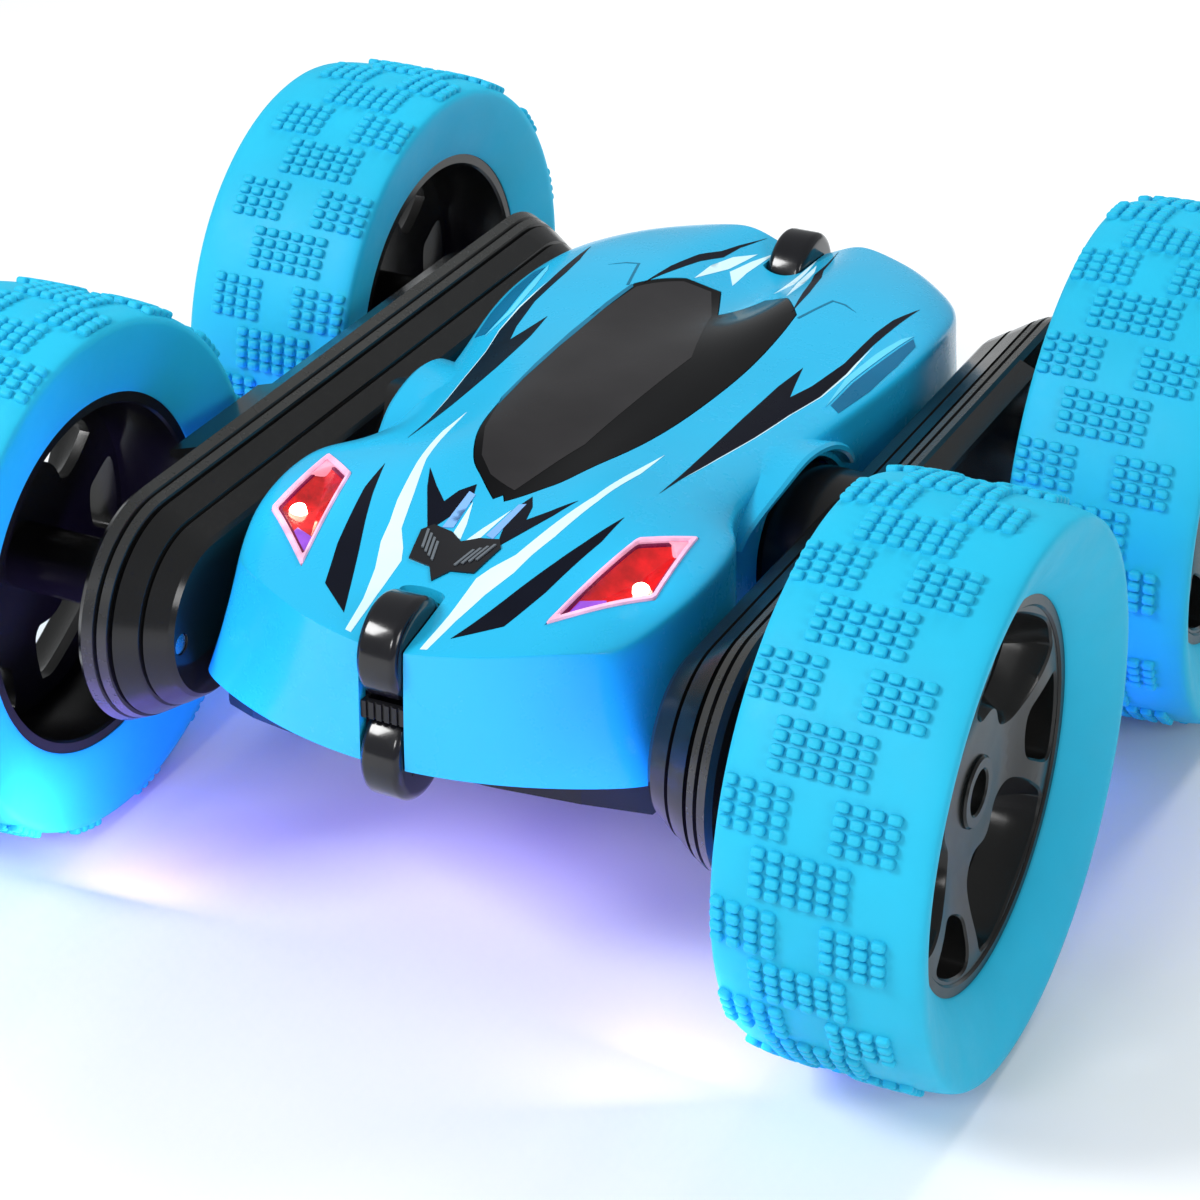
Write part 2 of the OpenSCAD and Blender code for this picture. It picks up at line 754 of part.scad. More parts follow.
module axle(side, end) {
    color("silver")
        on_side(side)
            rod_x(arm_in + 1.1, wheel_x + rim_hub_out - 2, axle_r, end * axle_y, axle_z);
}

// One Y-shaped spoke: a stem that forks into two thin ribs at the barrel
module spoke(a) {
    half = [[3, 2.6], [11, 3.4], [15, 6.5], [rim_open_r - 1.7, 9.6], [rim_open_r - 0.7, 7.5], [16.5, 3.4]];
    rotate([0, 0, a])
        polygon(concat(half, [for (i = [len(half) - 1:-1:0]) [half[i][0], -half[i][1]]]));
}

module rim(side, end) {
    face = wheel_x + rim_hub_out;
    color("#111113")
        on_side(side)
            difference() {
                union() {
                    turned_x([[wheel_x + rim_in, rim_open_r - 0.1], [wheel_x + rim_in, lip_r],
                        [wheel_x + rim_in + lip_w, lip_r], [wheel_x + rim_in + lip_w, seat_r],
                        [wheel_x + rim_out - lip_w, seat_r], [wheel_x + rim_out - lip_w, lip_r],
                        [wheel_x + rim_out, lip_r], [wheel_x + rim_out, rim_open_r]],
                        end * axle_y, axle_z);
                    rod_x(arm_out + 4.4, face, rim_hub_r, end * axle_y, axle_z);
                    translate([0, end * axle_y, axle_z])
                        along_x(wheel_x + 1.5, face - 0.8)
                            for (k = [0:2])
                                spoke(k * 120);
                }
                rod_x(arm_out, face - 2, axle_r, end * axle_y, axle_z);
                rod_x(face - 2.01, face + 1, rim_hub_hole_r, end * axle_y, axle_z);
            }
}

// Half the section of the tyre, from its crown over the shoulder and down the tapering side to the rim's lip,
// which starts at u
function tyre_half(u) = concat(
    [for (a = [9:9:81])
        [tyre_w / 2 * pow(sin(a), 2 / shoulder_power),
         side_r + (tyre_d / 2 - side_r) * pow(cos(a), 2 / shoulder_power)]],
    [for (a = [0:15:90])
        [u + bead_gap + (tyre_w / 2 - u - bead_gap) * pow(cos(a), side_taper),
         side_r - (side_r - lip_r + bead_lap) * pow(sin(a), side_taper)]],
    [[u + bead_gap, lip_r + bead_gap], [u - lip_w, lip_r + bead_gap], [u - lip_w - bead_gap, seat_r]]);

module tyre(side, end) {
    outboard = tyre_half(rim_out);
    inboard = tyre_half(-rim_in);
    section = concat([[0, tyre_d / 2]], outboard, [for (i = [len(inboard) - 1:-1:0]) [-inboard[i][0], inboard[i][1]]]);
    color("#29b6e8")
        on_side(side)
            turned_x([for (p = section) [wheel_x + p[0], p[1]]], end * axle_y, axle_z);
}

upper_shell();
windscreen();
lamp_lens(LEFT);  // lamp_lens_left
lamp_lens(RIGHT);  // lamp_lens_right
headlamp_leds();
hood_vent();
roller_carrier(FRONT);  // front_roller_carrier
roller_carrier(REAR);  // rear_roller_carrier
roller(0);  // front_roller_upper
roller(1);  // front_roller_lower
roller(2);  // rear_roller_upper
roller(3);  // rear_roller_lower
lower_shell();
bearing_cap(LEFT);  // bearing_cap_left
bearing_cap(RIGHT);  // bearing_cap_right
battery_pack();
battery_cover();
circuit_board();
underglow_lens();
power_switch();
brush_blocks();
body_screws();
inner_housing(LEFT);  // left_inner_housing
outer_housing(LEFT);  // left_outer_housing
housing_screws(LEFT);  // left_housing_screws
drive_motor(LEFT);  // left_drive_motor
motor_pinion(LEFT);  // left_motor_pinion
slip_rings(LEFT);  // left_slip_rings
idler_gear(LEFT, FRONT, false);  // left_front_idler_inner
idler_gear(LEFT, FRONT, true);  // left_front_idler_outer
idler_gear(LEFT, REAR, false);  // left_rear_idler_inner
idler_gear(LEFT, REAR, true);  // left_rear_idler_outer
wheel_gear(LEFT, FRONT);  // left_front_wheel_gear
wheel_gear(LEFT, REAR);  // left_rear_wheel_gear
axle(LEFT, FRONT);  // left_front_axle
axle(LEFT, REAR);  // left_rear_axle
rim(LEFT, FRONT);  // left_front_rim
rim(LEFT, REAR);  // left_rear_rim
tyre(LEFT, FRONT);  // left_front_tyre
tyre(LEFT, REAR);  // left_rear_tyre
inner_housing(RIGHT);  // right_inner_housing
outer_housing(RIGHT);  // right_outer_housing
housing_screws(RIGHT);  // right_housing_screws
drive_motor(RIGHT);  // right_drive_motor
motor_pinion(RIGHT);  // right_motor_pinion
slip_rings(RIGHT);  // right_slip_rings
idler_gear(RIGHT, FRONT, false);  // right_front_idler_inner
idler_gear(RIGHT, FRONT, true);  // right_front_idler_outer
idler_gear(RIGHT, REAR, false);  // right_rear_idler_inner
idler_gear(RIGHT, REAR, true);  // right_rear_idler_outer
wheel_gear(RIGHT, FRONT);  // right_front_wheel_gear
wheel_gear(RIGHT, REAR);  // right_rear_wheel_gear
axle(RIGHT, FRONT);  // right_front_axle
axle(RIGHT, REAR);  // right_rear_axle
rim(RIGHT, FRONT);  // right_front_rim
rim(RIGHT, REAR);  // right_rear_rim
tyre(RIGHT, FRONT);  // right_front_tyre
tyre(RIGHT, REAR);  // right_rear_tyre
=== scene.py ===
"""A radio controlled stunt car: the looks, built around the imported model. Lengths are in millimetres, and MM
turns them into metres."""

import math

import bpy
import bmesh
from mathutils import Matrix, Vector
from mathutils.bvhtree import BVHTree
from mathutils.geometry import delaunay_2d_cdt


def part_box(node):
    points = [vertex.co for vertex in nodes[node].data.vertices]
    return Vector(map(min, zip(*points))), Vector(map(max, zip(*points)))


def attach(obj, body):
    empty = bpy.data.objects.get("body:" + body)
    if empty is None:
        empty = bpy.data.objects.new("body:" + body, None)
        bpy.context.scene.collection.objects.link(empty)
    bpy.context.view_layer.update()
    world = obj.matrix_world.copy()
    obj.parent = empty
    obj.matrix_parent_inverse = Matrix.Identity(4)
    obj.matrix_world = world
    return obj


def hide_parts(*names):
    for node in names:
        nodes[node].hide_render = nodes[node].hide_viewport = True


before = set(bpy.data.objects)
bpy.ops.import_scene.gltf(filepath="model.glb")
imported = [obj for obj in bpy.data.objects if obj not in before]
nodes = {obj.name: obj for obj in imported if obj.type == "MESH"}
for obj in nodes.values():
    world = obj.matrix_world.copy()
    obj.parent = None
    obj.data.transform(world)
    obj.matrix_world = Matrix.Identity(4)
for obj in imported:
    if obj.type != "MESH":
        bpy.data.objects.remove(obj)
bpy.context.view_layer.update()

MM = 0.001
SIDES = {"left": 1, "right": -1}
ENDS = {"front": -1, "rear": 1}


def span(node):
    """The lowest and highest corners of a CAD node, in millimetres."""
    low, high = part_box(node)
    return low / MM, high / MM


def middle(node):
    low, high = span(node)
    return (low + high) / 2


# Driving places, all read from the frame
TYRE_LOW, TYRE_HIGH = span("left_front_tyre")
WHEEL_X = middle("left_front_tyre").x
AXLE_Y = middle("left_rear_tyre").y
AXLE_Z = middle("left_front_tyre").z
TYRE_R = (TYRE_HIGH.z - TYRE_LOW.z) / 2
TYRE_HALF = (TYRE_HIGH.x - TYRE_LOW.x) / 2
RIM_LOW, RIM_HIGH = span("left_front_rim")
SKIRT_Z = span("upper_shell")[0].z


# ---------- materials ----------
class Nodes:
    """A short way to write a node tree."""

    def __init__(self, name):
        self.material = bpy.data.materials.new(name)
        self.material.use_nodes = True
        self.tree = self.material.node_tree
        self.shader = self.tree.nodes["Principled BSDF"]
        self.place = self.tree.nodes.new("ShaderNodeTexCoord").outputs["Object"]

    def node(self, kind, **settings):
        made = self.tree.nodes.new("ShaderNode" + kind)
        for key, value in settings.items():
            setattr(made, key, value)
        return made

    def link(self, out, into):
        self.tree.links.new(out, into)

    def noise(self, size_mm, detail=3.0, rough=0.55, stretch=None):
        """Noise with features of about that size."""
        made = self.node("TexNoise")
        made.inputs["Scale"].default_value = 1 / (size_mm * MM)
        made.inputs["Detail"].default_value = detail
        made.inputs["Roughness"].default_value = rough
        where = self.place
        if stretch:
            mapping = self.node("Mapping")
            mapping.inputs["Scale"].default_value = stretch
            self.link(where, mapping.inputs["Vector"])
            where = mapping.outputs["Vector"]
        self.link(where, made.inputs["Vector"])
        return made.outputs["Fac"]

    def ramp(self, value, stops):
        made = self.node("ValToRGB")
        self.link(value, made.inputs["Fac"])
        ramp = made.color_ramp
        while len(ramp.elements) < len(stops):
            ramp.elements.new(0.5)
        for element, (at, colour) in zip(ramp.elements, stops):
            element.position = at
            element.color = (*colour, 1)
        return made.outputs["Color"]

    def spread(self, value, low, high):
        made = self.node("MapRange")
        self.link(value, made.inputs["Value"])
        made.inputs["From Min"].default_value = 0.3
        made.inputs["From Max"].default_value = 0.7
        made.inputs["To Min"].default_value = low
        made.inputs["To Max"].default_value = high
        return made.outputs["Result"]

    def bump(self, value, height_mm):
        made = self.node("Bump")
        made.inputs["Distance"].default_value = height_mm * MM
        self.link(value, made.inputs["Height"])
        self.link(made.outputs["Normal"], self.shader.inputs["Normal"])


def shade(colour, factor):
    return tuple(min(1.0, c * factor) for c in colour)


def surface(name, colour, rough, vary=0.12, patch_mm=9, grain_mm=0.5, grain=0.012, rough_vary=0.08,
            metallic=0.0, coat=0.0, coat_rough=0.05, specular=0.5, stretch=None, subsurface=0.0):
    """A moulded, painted or plated surface: patches of tone, a fine grain and uneven gloss."""
    n = Nodes(name)
    patch = n.noise(patch_mm, 4)
    base = n.ramp(patch, [(0.3, shade(colour, 1 - vary)), (0.7, shade(colour, 1 + vary))])
    n.link(base, n.shader.inputs["Base Color"])
    fine = n.noise(grain_mm, 2, stretch=stretch)
    uneven = n.noise(patch_mm * 0.4, 5, 0.7)
    n.link(n.spread(uneven, rough - rough_vary, rough + rough_vary), n.shader.inputs["Roughness"])
    n.bump(fine, grain)
    for socket, value in (("Metallic", metallic), ("Coat Weight", coat), ("Coat Roughness", coat_rough),
                          ("Specular IOR Level", specular), ("Subsurface Weight", subsurface)):
        n.shader.inputs[socket].default_value = value
    if subsurface:
        n.shader.inputs["Subsurface Radius"].default_value = (0.5, 0.9, 1.0)
        n.shader.inputs["Subsurface Scale"].default_value = 2 * MM
    return n.material


def glowing(name, colour, glow, strength):
    """A lit lens: brighter and paler in patches, as light spreads inside it."""
    n = Nodes(name)
    cloud = n.noise(3, 2)
    base = n.ramp(cloud, [(0.3, shade(colour, 0.8)), (0.7, shade(colour, 1.2))])
    light = n.ramp(cloud, [(0.25, shade(glow, 0.8)), (0.75, glow)])
    n.link(base, n.shader.inputs["Base Color"])
    n.link(light, n.shader.inputs["Emission Color"])
    n.shader.inputs["Emission Strength"].default_value = strength
    n.shader.inputs["Roughness"].default_value = 0.3
    return n.material


BLUE = (0.014, 0.42, 0.7)
TYRE = (0.018, 0.46, 0.7)
PRINT = dict(rough=0.32, patch_mm=12, grain_mm=0.3, grain=0.002, specular=0.16)
MAT = {
    "blue_paint": surface("blue_paint", BLUE, 0.27, vary=0.04, patch_mm=30, grain_mm=0.25, grain=0.002,
                          rough_vary=0.04, coat=0.3, coat_rough=0.1, specular=0.3),
    "window_black": surface("window_black", (0.002, 0.002, 0.0025), 0.12, patch_mm=25, grain=0.001,
                            rough_vary=0.03, specular=0.12),
    # painted reflection: the grey of the window's paler half
    "painted_window_reflection": surface("painted_window_reflection", (0.03, 0.0285, 0.03), 0.2, vary=0.3, patch_mm=40, grain=0.001,
                           rough_vary=0.04, specular=0.12),
    "print_black": surface("print_black", (0.002, 0.003, 0.009), vary=0.2, **PRINT),
    "print_white": surface("print_white", (0.62, 0.85, 0.93), vary=0.05, **PRINT),
    "print_pale": surface("print_pale", (0.2, 0.42, 0.8), vary=0.08, **PRINT),
    # teal print for the hatch line, and painted reflection for the window's side band
    "teal_print_and_painted_reflection": surface("teal_print_and_painted_reflection", (0.01, 0.16, 0.28), vary=0.1, **PRINT),
    # painted shade: the dark navy of the rear flank
    "painted_shade": surface("painted_shade", (0.006, 0.13, 0.26), vary=0.1, **PRINT),
    "print_blade": surface("print_blade", (0.12, 0.6, 0.82), vary=0.06, **PRINT),
    "print_grey": surface("print_grey", (0.13, 0.15, 0.17), vary=0.1, **PRINT),
    "black_gloss": surface("black_gloss", (0.006, 0.006, 0.008), 0.17, vary=0.2, patch_mm=8, grain=0.002,
                           rough_vary=0.04, coat=0.2, specular=0.4),
    "black_satin": surface("black_satin", (0.009, 0.009, 0.011), 0.38, vary=0.2, patch_mm=10, grain_mm=0.35,
                           grain=0.006, specular=0.35),
    "arm_black": surface("arm_black", (0.007, 0.007, 0.007), 0.2, vary=0.15, patch_mm=14, grain_mm=0.4,
                         grain=0.003, rough_vary=0.03, specular=0.42, stretch=(1, 0.15, 1)),
    "arm_band": surface("arm_band", (0.03, 0.03, 0.028), 0.27, vary=0.1, patch_mm=14, grain_mm=0.4,
                        grain=0.004, rough_vary=0.04),
    "rim_black": surface("rim_black", (0.007, 0.007, 0.0068), 0.24, vary=0.15, patch_mm=9, grain_mm=0.4,
                         grain=0.002, rough_vary=0.03, specular=0.34),
    "tyre_blue": surface("tyre_blue", TYRE, 0.55, vary=0.04, patch_mm=14, grain_mm=0.3, grain=0.008,
                         subsurface=0.1, specular=0.2),
    "battery_wrap": surface("battery_wrap", (0.02, 0.06, 0.4), 0.3, patch_mm=8, grain=0.006, coat=0.2),
    "board_green": surface("board_green", (0.01, 0.17, 0.05), 0.35, vary=0.3, patch_mm=3, grain_mm=0.8,
                           grain=0.02),
    "spring_brass": surface("spring_brass", (0.72, 0.5, 0.2), 0.28, metallic=1.0, patch_mm=4, grain=0.004),
    "screw_steel": surface("screw_steel", (0.55, 0.55, 0.57), 0.3, metallic=1.0, patch_mm=3, grain=0.004),
    "motor_can": surface("motor_can", (0.62, 0.62, 0.64), 0.26, metallic=1.0, patch_mm=6, grain_mm=0.3,
                         grain=0.004, stretch=(0.1, 1, 1)),
    "switch_grey": surface("switch_grey", (0.6, 0.6, 0.6), 0.45, patch_mm=3, grain=0.006),
    "gear_white": surface("gear_white", (0.8, 0.78, 0.72), 0.4, vary=0.05, patch_mm=5, grain=0.006,
                          subsurface=0.2),
    "lamp_red": surface("lamp_red", (0.5, 0.006, 0.008), 0.16, vary=0.5, patch_mm=4, grain_mm=1.2,
                        grain=0.04, coat=0.4),
    "lamp_line": surface("lamp_line", (0.16, 0.004, 0.05), 0.3, patch_mm=3, grain=0.003),
    "lamp_violet": glowing("lamp_violet", (0.2, 0.05, 0.4), (0.25, 0.08, 0.7), 0.5),
    "lamp_pink": glowing("lamp_pink", (0.85, 0.3, 0.42), (0.95, 0.4, 0.5), 0.4),
    "lamp_bezel": glowing("lamp_bezel", (0.8, 0.45, 0.62), (0.9, 0.45, 0.68), 0.2),
    "led_white": glowing("led_white", (1, 0.9, 0.75), (1.0, 0.72, 0.5), 6),
    "underglow": glowing("underglow", (0.5, 0.4, 0.9), (0.3, 0.2, 1.0), 7),
}


# ---------- meshes ----------
def add_object(name, data):
    """A new object in the scene."""
    made = bpy.data.objects.new(name, data)
    bpy.context.scene.collection.objects.link(made)
    return made


def make_mesh(name, verts, faces, merge=0.0):
    """A mesh from points in millimetres, its faces turned outward and points within merge joined."""
    mesh = bpy.data.meshes.new(name)
    mesh.from_pydata([tuple(c * MM for c in v) for v in verts], [], faces)
    made = bmesh.new()
    made.from_mesh(mesh)
    if merge:
        bmesh.ops.remove_doubles(made, verts=made.verts, dist=merge * MM)
    bmesh.ops.recalc_face_normals(made, faces=made.faces)
    made.to_mesh(mesh)
    made.free()
    return mesh


def mesh_piece(name, shape, material, body, replaces=(), smooth=35):
    """One piece of the car, riding on a body. Edges sharper than smooth degrees stay sharp."""
    mesh = make_mesh(name, shape.verts, shape.faces, merge=0.002)
    mesh.shade_smooth()
    mesh.set_sharp_from_angle(angle=math.radians(smooth))
    piece = add_object(name, mesh)
    mesh.materials.append(MAT[material])
    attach(piece, body)
    if replaces:
        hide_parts(*replaces)
    return piece


class Shape:
    """Collects points and faces of one piece."""

    def __init__(self):
        self.verts = []
        self.faces = []

    def add(self, points):
        first = len(self.verts)
        self.verts += [tuple(p) for p in points]
        return list(range(first, len(self.verts)))

    def rings(self, loops, cap_first=False, cap_last=False):
        """Joins loops of the same number of points, each to the next."""
        ids = [self.add(loop) for loop in loops]
        for a, b in zip(ids, ids[1:]):
            count = len(a)
            for i in range(count):
                j = (i + 1) % count
                self.faces.append((a[i], a[j], b[j], b[i]))
        if cap_first:
            self.faces.append(tuple(ids[0]))
        if cap_last:
            self.faces.append(tuple(reversed(ids[-1])))

    def lathe(self, profile, place, segments):
        """Turns a closed profile of (u, r) about the axis; place(u, r, angle) gives a point."""
        turns = [2 * math.pi * k / segments for k in range(segments)]
        loops = [[place(u, r, a) for a in turns] for u, r in profile]
        self.rings([*loops, loops[0]])


def lerp(a, b, t):
    return a + (b - a) * t


def smooth_step(low, high, value):
    t = max(0.0, min(1.0, (value - low) / (high - low)))
    return t * t * (3 - 2 * t)


def catmull_rom(t, a, b, c, d):
    """The value at t on the way from b to c."""
    return 0.5 * (2 * b + (c - a) * t + (2 * a - 5 * b + 4 * c - d) * t * t
                  + (3 * b - a - 3 * c + d) * t ** 3)


def spline(points, count, closed=False):
    """Catmull-Rom through points of any dimension, count steps between each two."""
    size = len(points)
    made = []
    for i in range(size if closed else size - 1):
        if closed:
            four = [points[(i + k) % size] for k in (-1, 0, 1, 2)]
        else:
            four = [points[max(0, min(size - 1, i + k))] for k in (-1, 0, 1, 2)]
        for k in range(count):
            made.append(tuple(catmull_rom(k / count, *values) for values in zip(*four)))
    if not closed:
        made.append(tuple(points[-1]))
    return made


def inset_loop(loop, distance):
    """A closed 2D loop moved inwards by distance; negative moves it out."""
    size = len(loop)
    area = sum(loop[i - 1][0] * loop[i][1] - loop[i][0] * loop[i - 1][1] for i in range(size))
    turn = 1 if area > 0 else -1
    made = []
    for i in range(size):
        before, here, after = loop[i - 1], loop[i], loop[(i + 1) % size]
        first = Vector((here[0] - before[0], here[1] - before[1])).normalized()
        second = Vector((after[0] - here[0], after[1] - here[1])).normalized()
        normal = Vector((-first.y - second.y, first.x + second.x)) * turn
        if normal.length < 1e-6:
            normal = Vector((-first.y, first.x)) * turn
        normal.normalize()
        share = max(0.5, normal.dot(Vector((-first.y, first.x)) * turn))
        made.append((here[0] + normal.x * distance / share, here[1] + normal.y * distance / share))
    return made


def inside(point, loop):
    x, y = point
    hit = False
    for (ax, ay), (bx, by) in zip(loop, loop[1:] + loop[:1]):
        if (ay > y) != (by > y) and x < (bx - ax) * (y - ay) / (by - ay) + ax:
            hit = not hit
    return hit


def fill_plate(outer, holes, spacing):
    """Triangles over the area inside outer and outside the holes, with a grid of inner points so that the
    plate can be dished. Returns 2D points and triangles; the loops' points come first, in order."""
    points = [Vector(p) for loop in [outer, *holes] for p in loop]
    edges = []
    first = 0
    for loop in [outer, *holes]:
        edges += [(first + i, first + (i + 1) % len(loop)) for i in range(len(loop))]
        first += len(loop)

    def within(point):
        return inside(point, outer) and not any(inside(point, hole) for hole in holes)

    xs = [p[0] for p in outer]
    ys = [p[1] for p in outer]
    row = 0
    y = min(ys)
    while y < max(ys):
        x = min(xs) + (spacing / 2 if row % 2 else 0)
        while x < max(xs):
            near = min((x - p.x) ** 2 + (y - p.y) ** 2 for p in points[:first])
            if near > (spacing * 0.6) ** 2 and within((x, y)):
                points.append(Vector((x, y)))
            x += spacing
        y += spacing * 0.87
        row += 1
    verts, _, faces, _, _, _ = delaunay_2d_cdt(points, edges, [], 0, 1e-6)
    kept = []
    for face in faces:
        centre = (sum(verts[i].x for i in face) / 3, sum(verts[i].y for i in face) / 3)
        if within(centre):
            kept.append(face)
    return verts, kept


def bake_modifiers(piece):
    """Turns the piece's modifiers into mesh."""
    graph = bpy.context.evaluated_depsgraph_get()
    mesh = bpy.data.meshes.new_from_object(piece.evaluated_get(graph), preserve_all_data_layers=True,
                                           depsgraph=graph)
    piece.modifiers.clear()
    piece.data = mesh


def cut(piece, shape, operation="DIFFERENCE"):
    """Takes a closed helper shape out of the piece, or joins it on with UNION."""
    cutter = add_object("cutter", make_mesh("cutter", shape.verts, shape.faces))
    modifier = piece.modifiers.new("cut", "BOOLEAN")
    modifier.operation = operation
    modifier.solver = "MANIFOLD"
    modifier.object = cutter
    bpy.context.view_layer.update()
    bake_modifiers(piece)
    bpy.data.objects.remove(cutter)


def prism(outline, low, high):
    made = Shape()
    made.rings([[(x, y, z) for x, y in outline] for z in (low, high)], cap_first=True, cap_last=True)
    return made


# ---------- wheels ----------
STUD_H = 0.8
STUD_ACROSS = 0.84
STUD_ALONG = 0.66
# The stud's outline on its way up, as (size, height)
STUD_STEPS = ((1.0, -0.3), (1.0, 0.42), (0.9, 0.66), (0.66, STUD_H))
BLOCK_ROWS = 4
ROW_STEP = math.radians(2.6)
PATTERNS = 15
# Columns of studs, from the tread's middle line, and the angle where each set of blocks starts
MIDDLE_COLUMNS = [2.1 * k - 7.2 for k in range(6)]
MIDDLE_PHASE = 122.7
SIDE_COLUMNS = [-12.0, -9.8, -7.5, -5.3, 1.9, 4.0, 6.1, 8.2]
SIDE_PHASE = 134.9
SHOULDER_POWER = 3
SIDE_R = 35
SIDE_TAPER = 1.6
SIDE_STEPS = 12
TYRE_SEGMENTS = 180
# How far the tread stays inside the CAD tyre, at its crown and at its sides
CROWN_GAP = 0.02
SIDE_GAP = 0.05
# The tyre's bead: how far it reaches inside the lip's edge, and its gaps to the lip's face and the seat
BEAD_LAP = 1.0
BEAD_GAP = 0.15
SEAT_GAP = 0.1
LIP_R = (RIM_HIGH.z - RIM_LOW.z) / 2
SEAT_R = LIP_R - 1.2
OPEN_R = LIP_R - 2.6
RIM_FACE = RIM_HIGH.x - WHEEL_X
RIM_BACK = -11.0
LIP_W = 1.2
FLANGE_W = 1.4
RIM_SEGMENTS = 144


def wheel_frame(side_name, end_name):
    """Two functions that place points on one wheel, u out from its middle: put(u, (along, up)) and
    place(u, radius, angle)."""
    side, end = SIDES[side_name], ENDS[end_name]

    def put(u, p):
        return (side * (WHEEL_X + u), end * AXLE_Y + p[0], AXLE_Z + p[1])

    def place(u, r, a):
        return put(u, (r * math.cos(a), r * math.sin(a)))

    return put, place


def tyre_point(a, crown, half):
    """A point (u, r) of the tyre's section, a from -90 to 90 degrees over the tread's side of it."""
    s, c = math.sin(a), math.cos(a)
    return (half * math.copysign(abs(s) ** (2 / SHOULDER_POWER), s),
            SIDE_R + (crown - SIDE_R) * max(0, c) ** (2 / SHOULDER_POWER))


def side_wall(half, bead_u):
    """The side from its widest point in to the bead, as (u, r)."""
    made = []
    for k in range(1, SIDE_STEPS + 1):
        a = math.radians(90 * k / SIDE_STEPS)
        made.append((bead_u + (half - bead_u) * abs(math.cos(a)) ** SIDE_TAPER,
                     SIDE_R - (SIDE_R - LIP_R + BEAD_LAP) * math.sin(a) ** SIDE_TAPER))
    return made


def tyre_arc(crown, half, steps=60, trials=600):
    """The tread's section, with points at even distances, and half its length."""
    rough = [tyre_point(math.radians(-90 + 180 * k / trials), crown, half) for k in range(trials + 1)]
    run = [0.0]
    for a, b in zip(rough, rough[1:]):
        run.append(run[-1] + math.dist(a, b))
    made = []
    k = 0
    for i in range(steps + 1):
        want = run[-1] * i / steps
        while k < len(run) - 2 and run[k + 1] < want:
            k += 1
        t = (want - run[k]) / max(1e-9, run[k + 1] - run[k])
        made.append((lerp(rough[k][0], rough[k + 1][0], t), lerp(rough[k][1], rough[k + 1][1], t)))
    return made, run[-1] / 2


def at_arc(arc, half_length, s):
    """The point and outward normal of the section at distance s from its middle."""
    step = 2 * half_length / (len(arc) - 1)
    where = (s + half_length) / step
    i = max(0, min(len(arc) - 2, int(where)))
    t = where - i
    (u0, r0), (u1, r1) = arc[i], arc[i + 1]
    along = Vector((u1 - u0, r1 - r0)).normalized()
    return lerp(u0, u1, t), lerp(r0, r1, t), Vector((-along.y, along.x))


def stud_outline(size):
    """A brick with rounded corners, as (across, along)."""
    across, along = STUD_ACROSS * size, STUD_ALONG * size
    return [(across * math.copysign(abs(math.cos(a)) ** 0.55, math.cos(a)),
             along * math.copysign(abs(math.sin(a)) ** 0.55, math.sin(a)))
            for a in [math.pi * (k + 0.5) / 6 for k in range(12)]]


def add_stud(made, centre, across, around, up):
    made.rings([[centre + across * p + around * q + up * height for p, q in stud_outline(size)]
                for size, height in STUD_STEPS], cap_first=True, cap_last=True)


def tyre(side_name, end_name):
    """A tyre with blocks of small studs over its tread."""
    side = SIDES[side_name]
    _, place = wheel_frame(side_name, end_name)
    half = TYRE_HALF - SIDE_GAP
    arc, reach = tyre_arc(TYRE_R - STUD_H - CROWN_GAP, half)

    made = Shape()
    outer = side_wall(half, RIM_FACE + BEAD_GAP)
    inner = [(-u, r) for u, r in reversed(side_wall(half, -RIM_BACK + BEAD_GAP))]
    bead = [(RIM_FACE - FLANGE_W, SEAT_R + SEAT_GAP), (RIM_BACK + FLANGE_W, SEAT_R + SEAT_GAP)]
    made.lathe(inner + arc[1:-1] + outer + bead, place, TYRE_SEGMENTS)

    for pattern in range(PATTERNS):
        for columns, phase in ((MIDDLE_COLUMNS, MIDDLE_PHASE), (SIDE_COLUMNS, SIDE_PHASE)):
            start = math.radians(phase + 360 * pattern / PATTERNS)
            for row in range(BLOCK_ROWS):
                angle = start + (row - (BLOCK_ROWS - 1) / 2) * ROW_STEP
                radial = Vector((0, math.cos(angle), math.sin(angle)))
                around = Vector((0, -math.sin(angle), math.cos(angle)))
                for s in columns:
                    u, r, normal = at_arc(arc, reach, s)
                    up = Vector((side * normal.x, 0, 0)) + radial * normal.y
                    across = Vector((side * normal.y, 0, 0)) - radial * normal.x
                    add_stud(made, Vector(place(u, r, angle)), across, around, up)
    wheel = f"{side_name}_{end_name}"
    mesh_piece(f"{wheel}_tread", made, "tyre_blue", f"{wheel}_wheel", [f"{wheel}_tyre"],
               smooth=50)


HUB_R = 4.7
HUB_HOLE_R = 2.9
HUB_BORE_R = 2.05
HUB_BACK = RIM_LOW.x - WHEEL_X


def polar(r, degrees):
    a = math.radians(degrees)
    return (r * math.cos(a), r * math.sin(a))


def mirrored(points, axis_degrees):
    """A half outline and its mirror image about the line at that angle, as one loop."""
    c, s = math.cos(math.radians(2 * axis_degrees)), math.sin(math.radians(2 * axis_degrees))
    return points + [(x * c + y * s, x * s - y * c) for x, y in reversed(points)]


def turned(loop, degrees):
    c, s = math.cos(math.radians(degrees)), math.sin(math.radians(degrees))
    return [(x * c - y * s, x * s + y * c) for x, y in loop]


# Half outlines of the rim face's openings, each mirrored about its own angle
WINDOW_HALF = [(6.2, 8.5), (8.0, 5.6), (11.2, 4.7), (14.4, 6.0), (17.4, 8.3), (19.4, 10.5), polar(22.7, 32),
               polar(23.1, 44)]
POCKET_HALF = [polar(22.9, 4), polar(22.8, 13), polar(21.8, 16.5), (17.7, 4.6), (15.6, 2.6)]
# How far the walls of the windows and pockets draw in, in two steps
WINDOW_STEPS = (0.55, 1.85)
POCKET_STEPS = (0.45, 0.05)
# Depth of the dished face under the rim's face, at its middle and at its edge, and the radii between which
# it rises
DISH_MIDDLE = 2.5
DISH_EDGE = 0.35
DISH_RADII = (9, 22)
CHAMFER = 0.3
BACK_U = RIM_FACE - 7.4
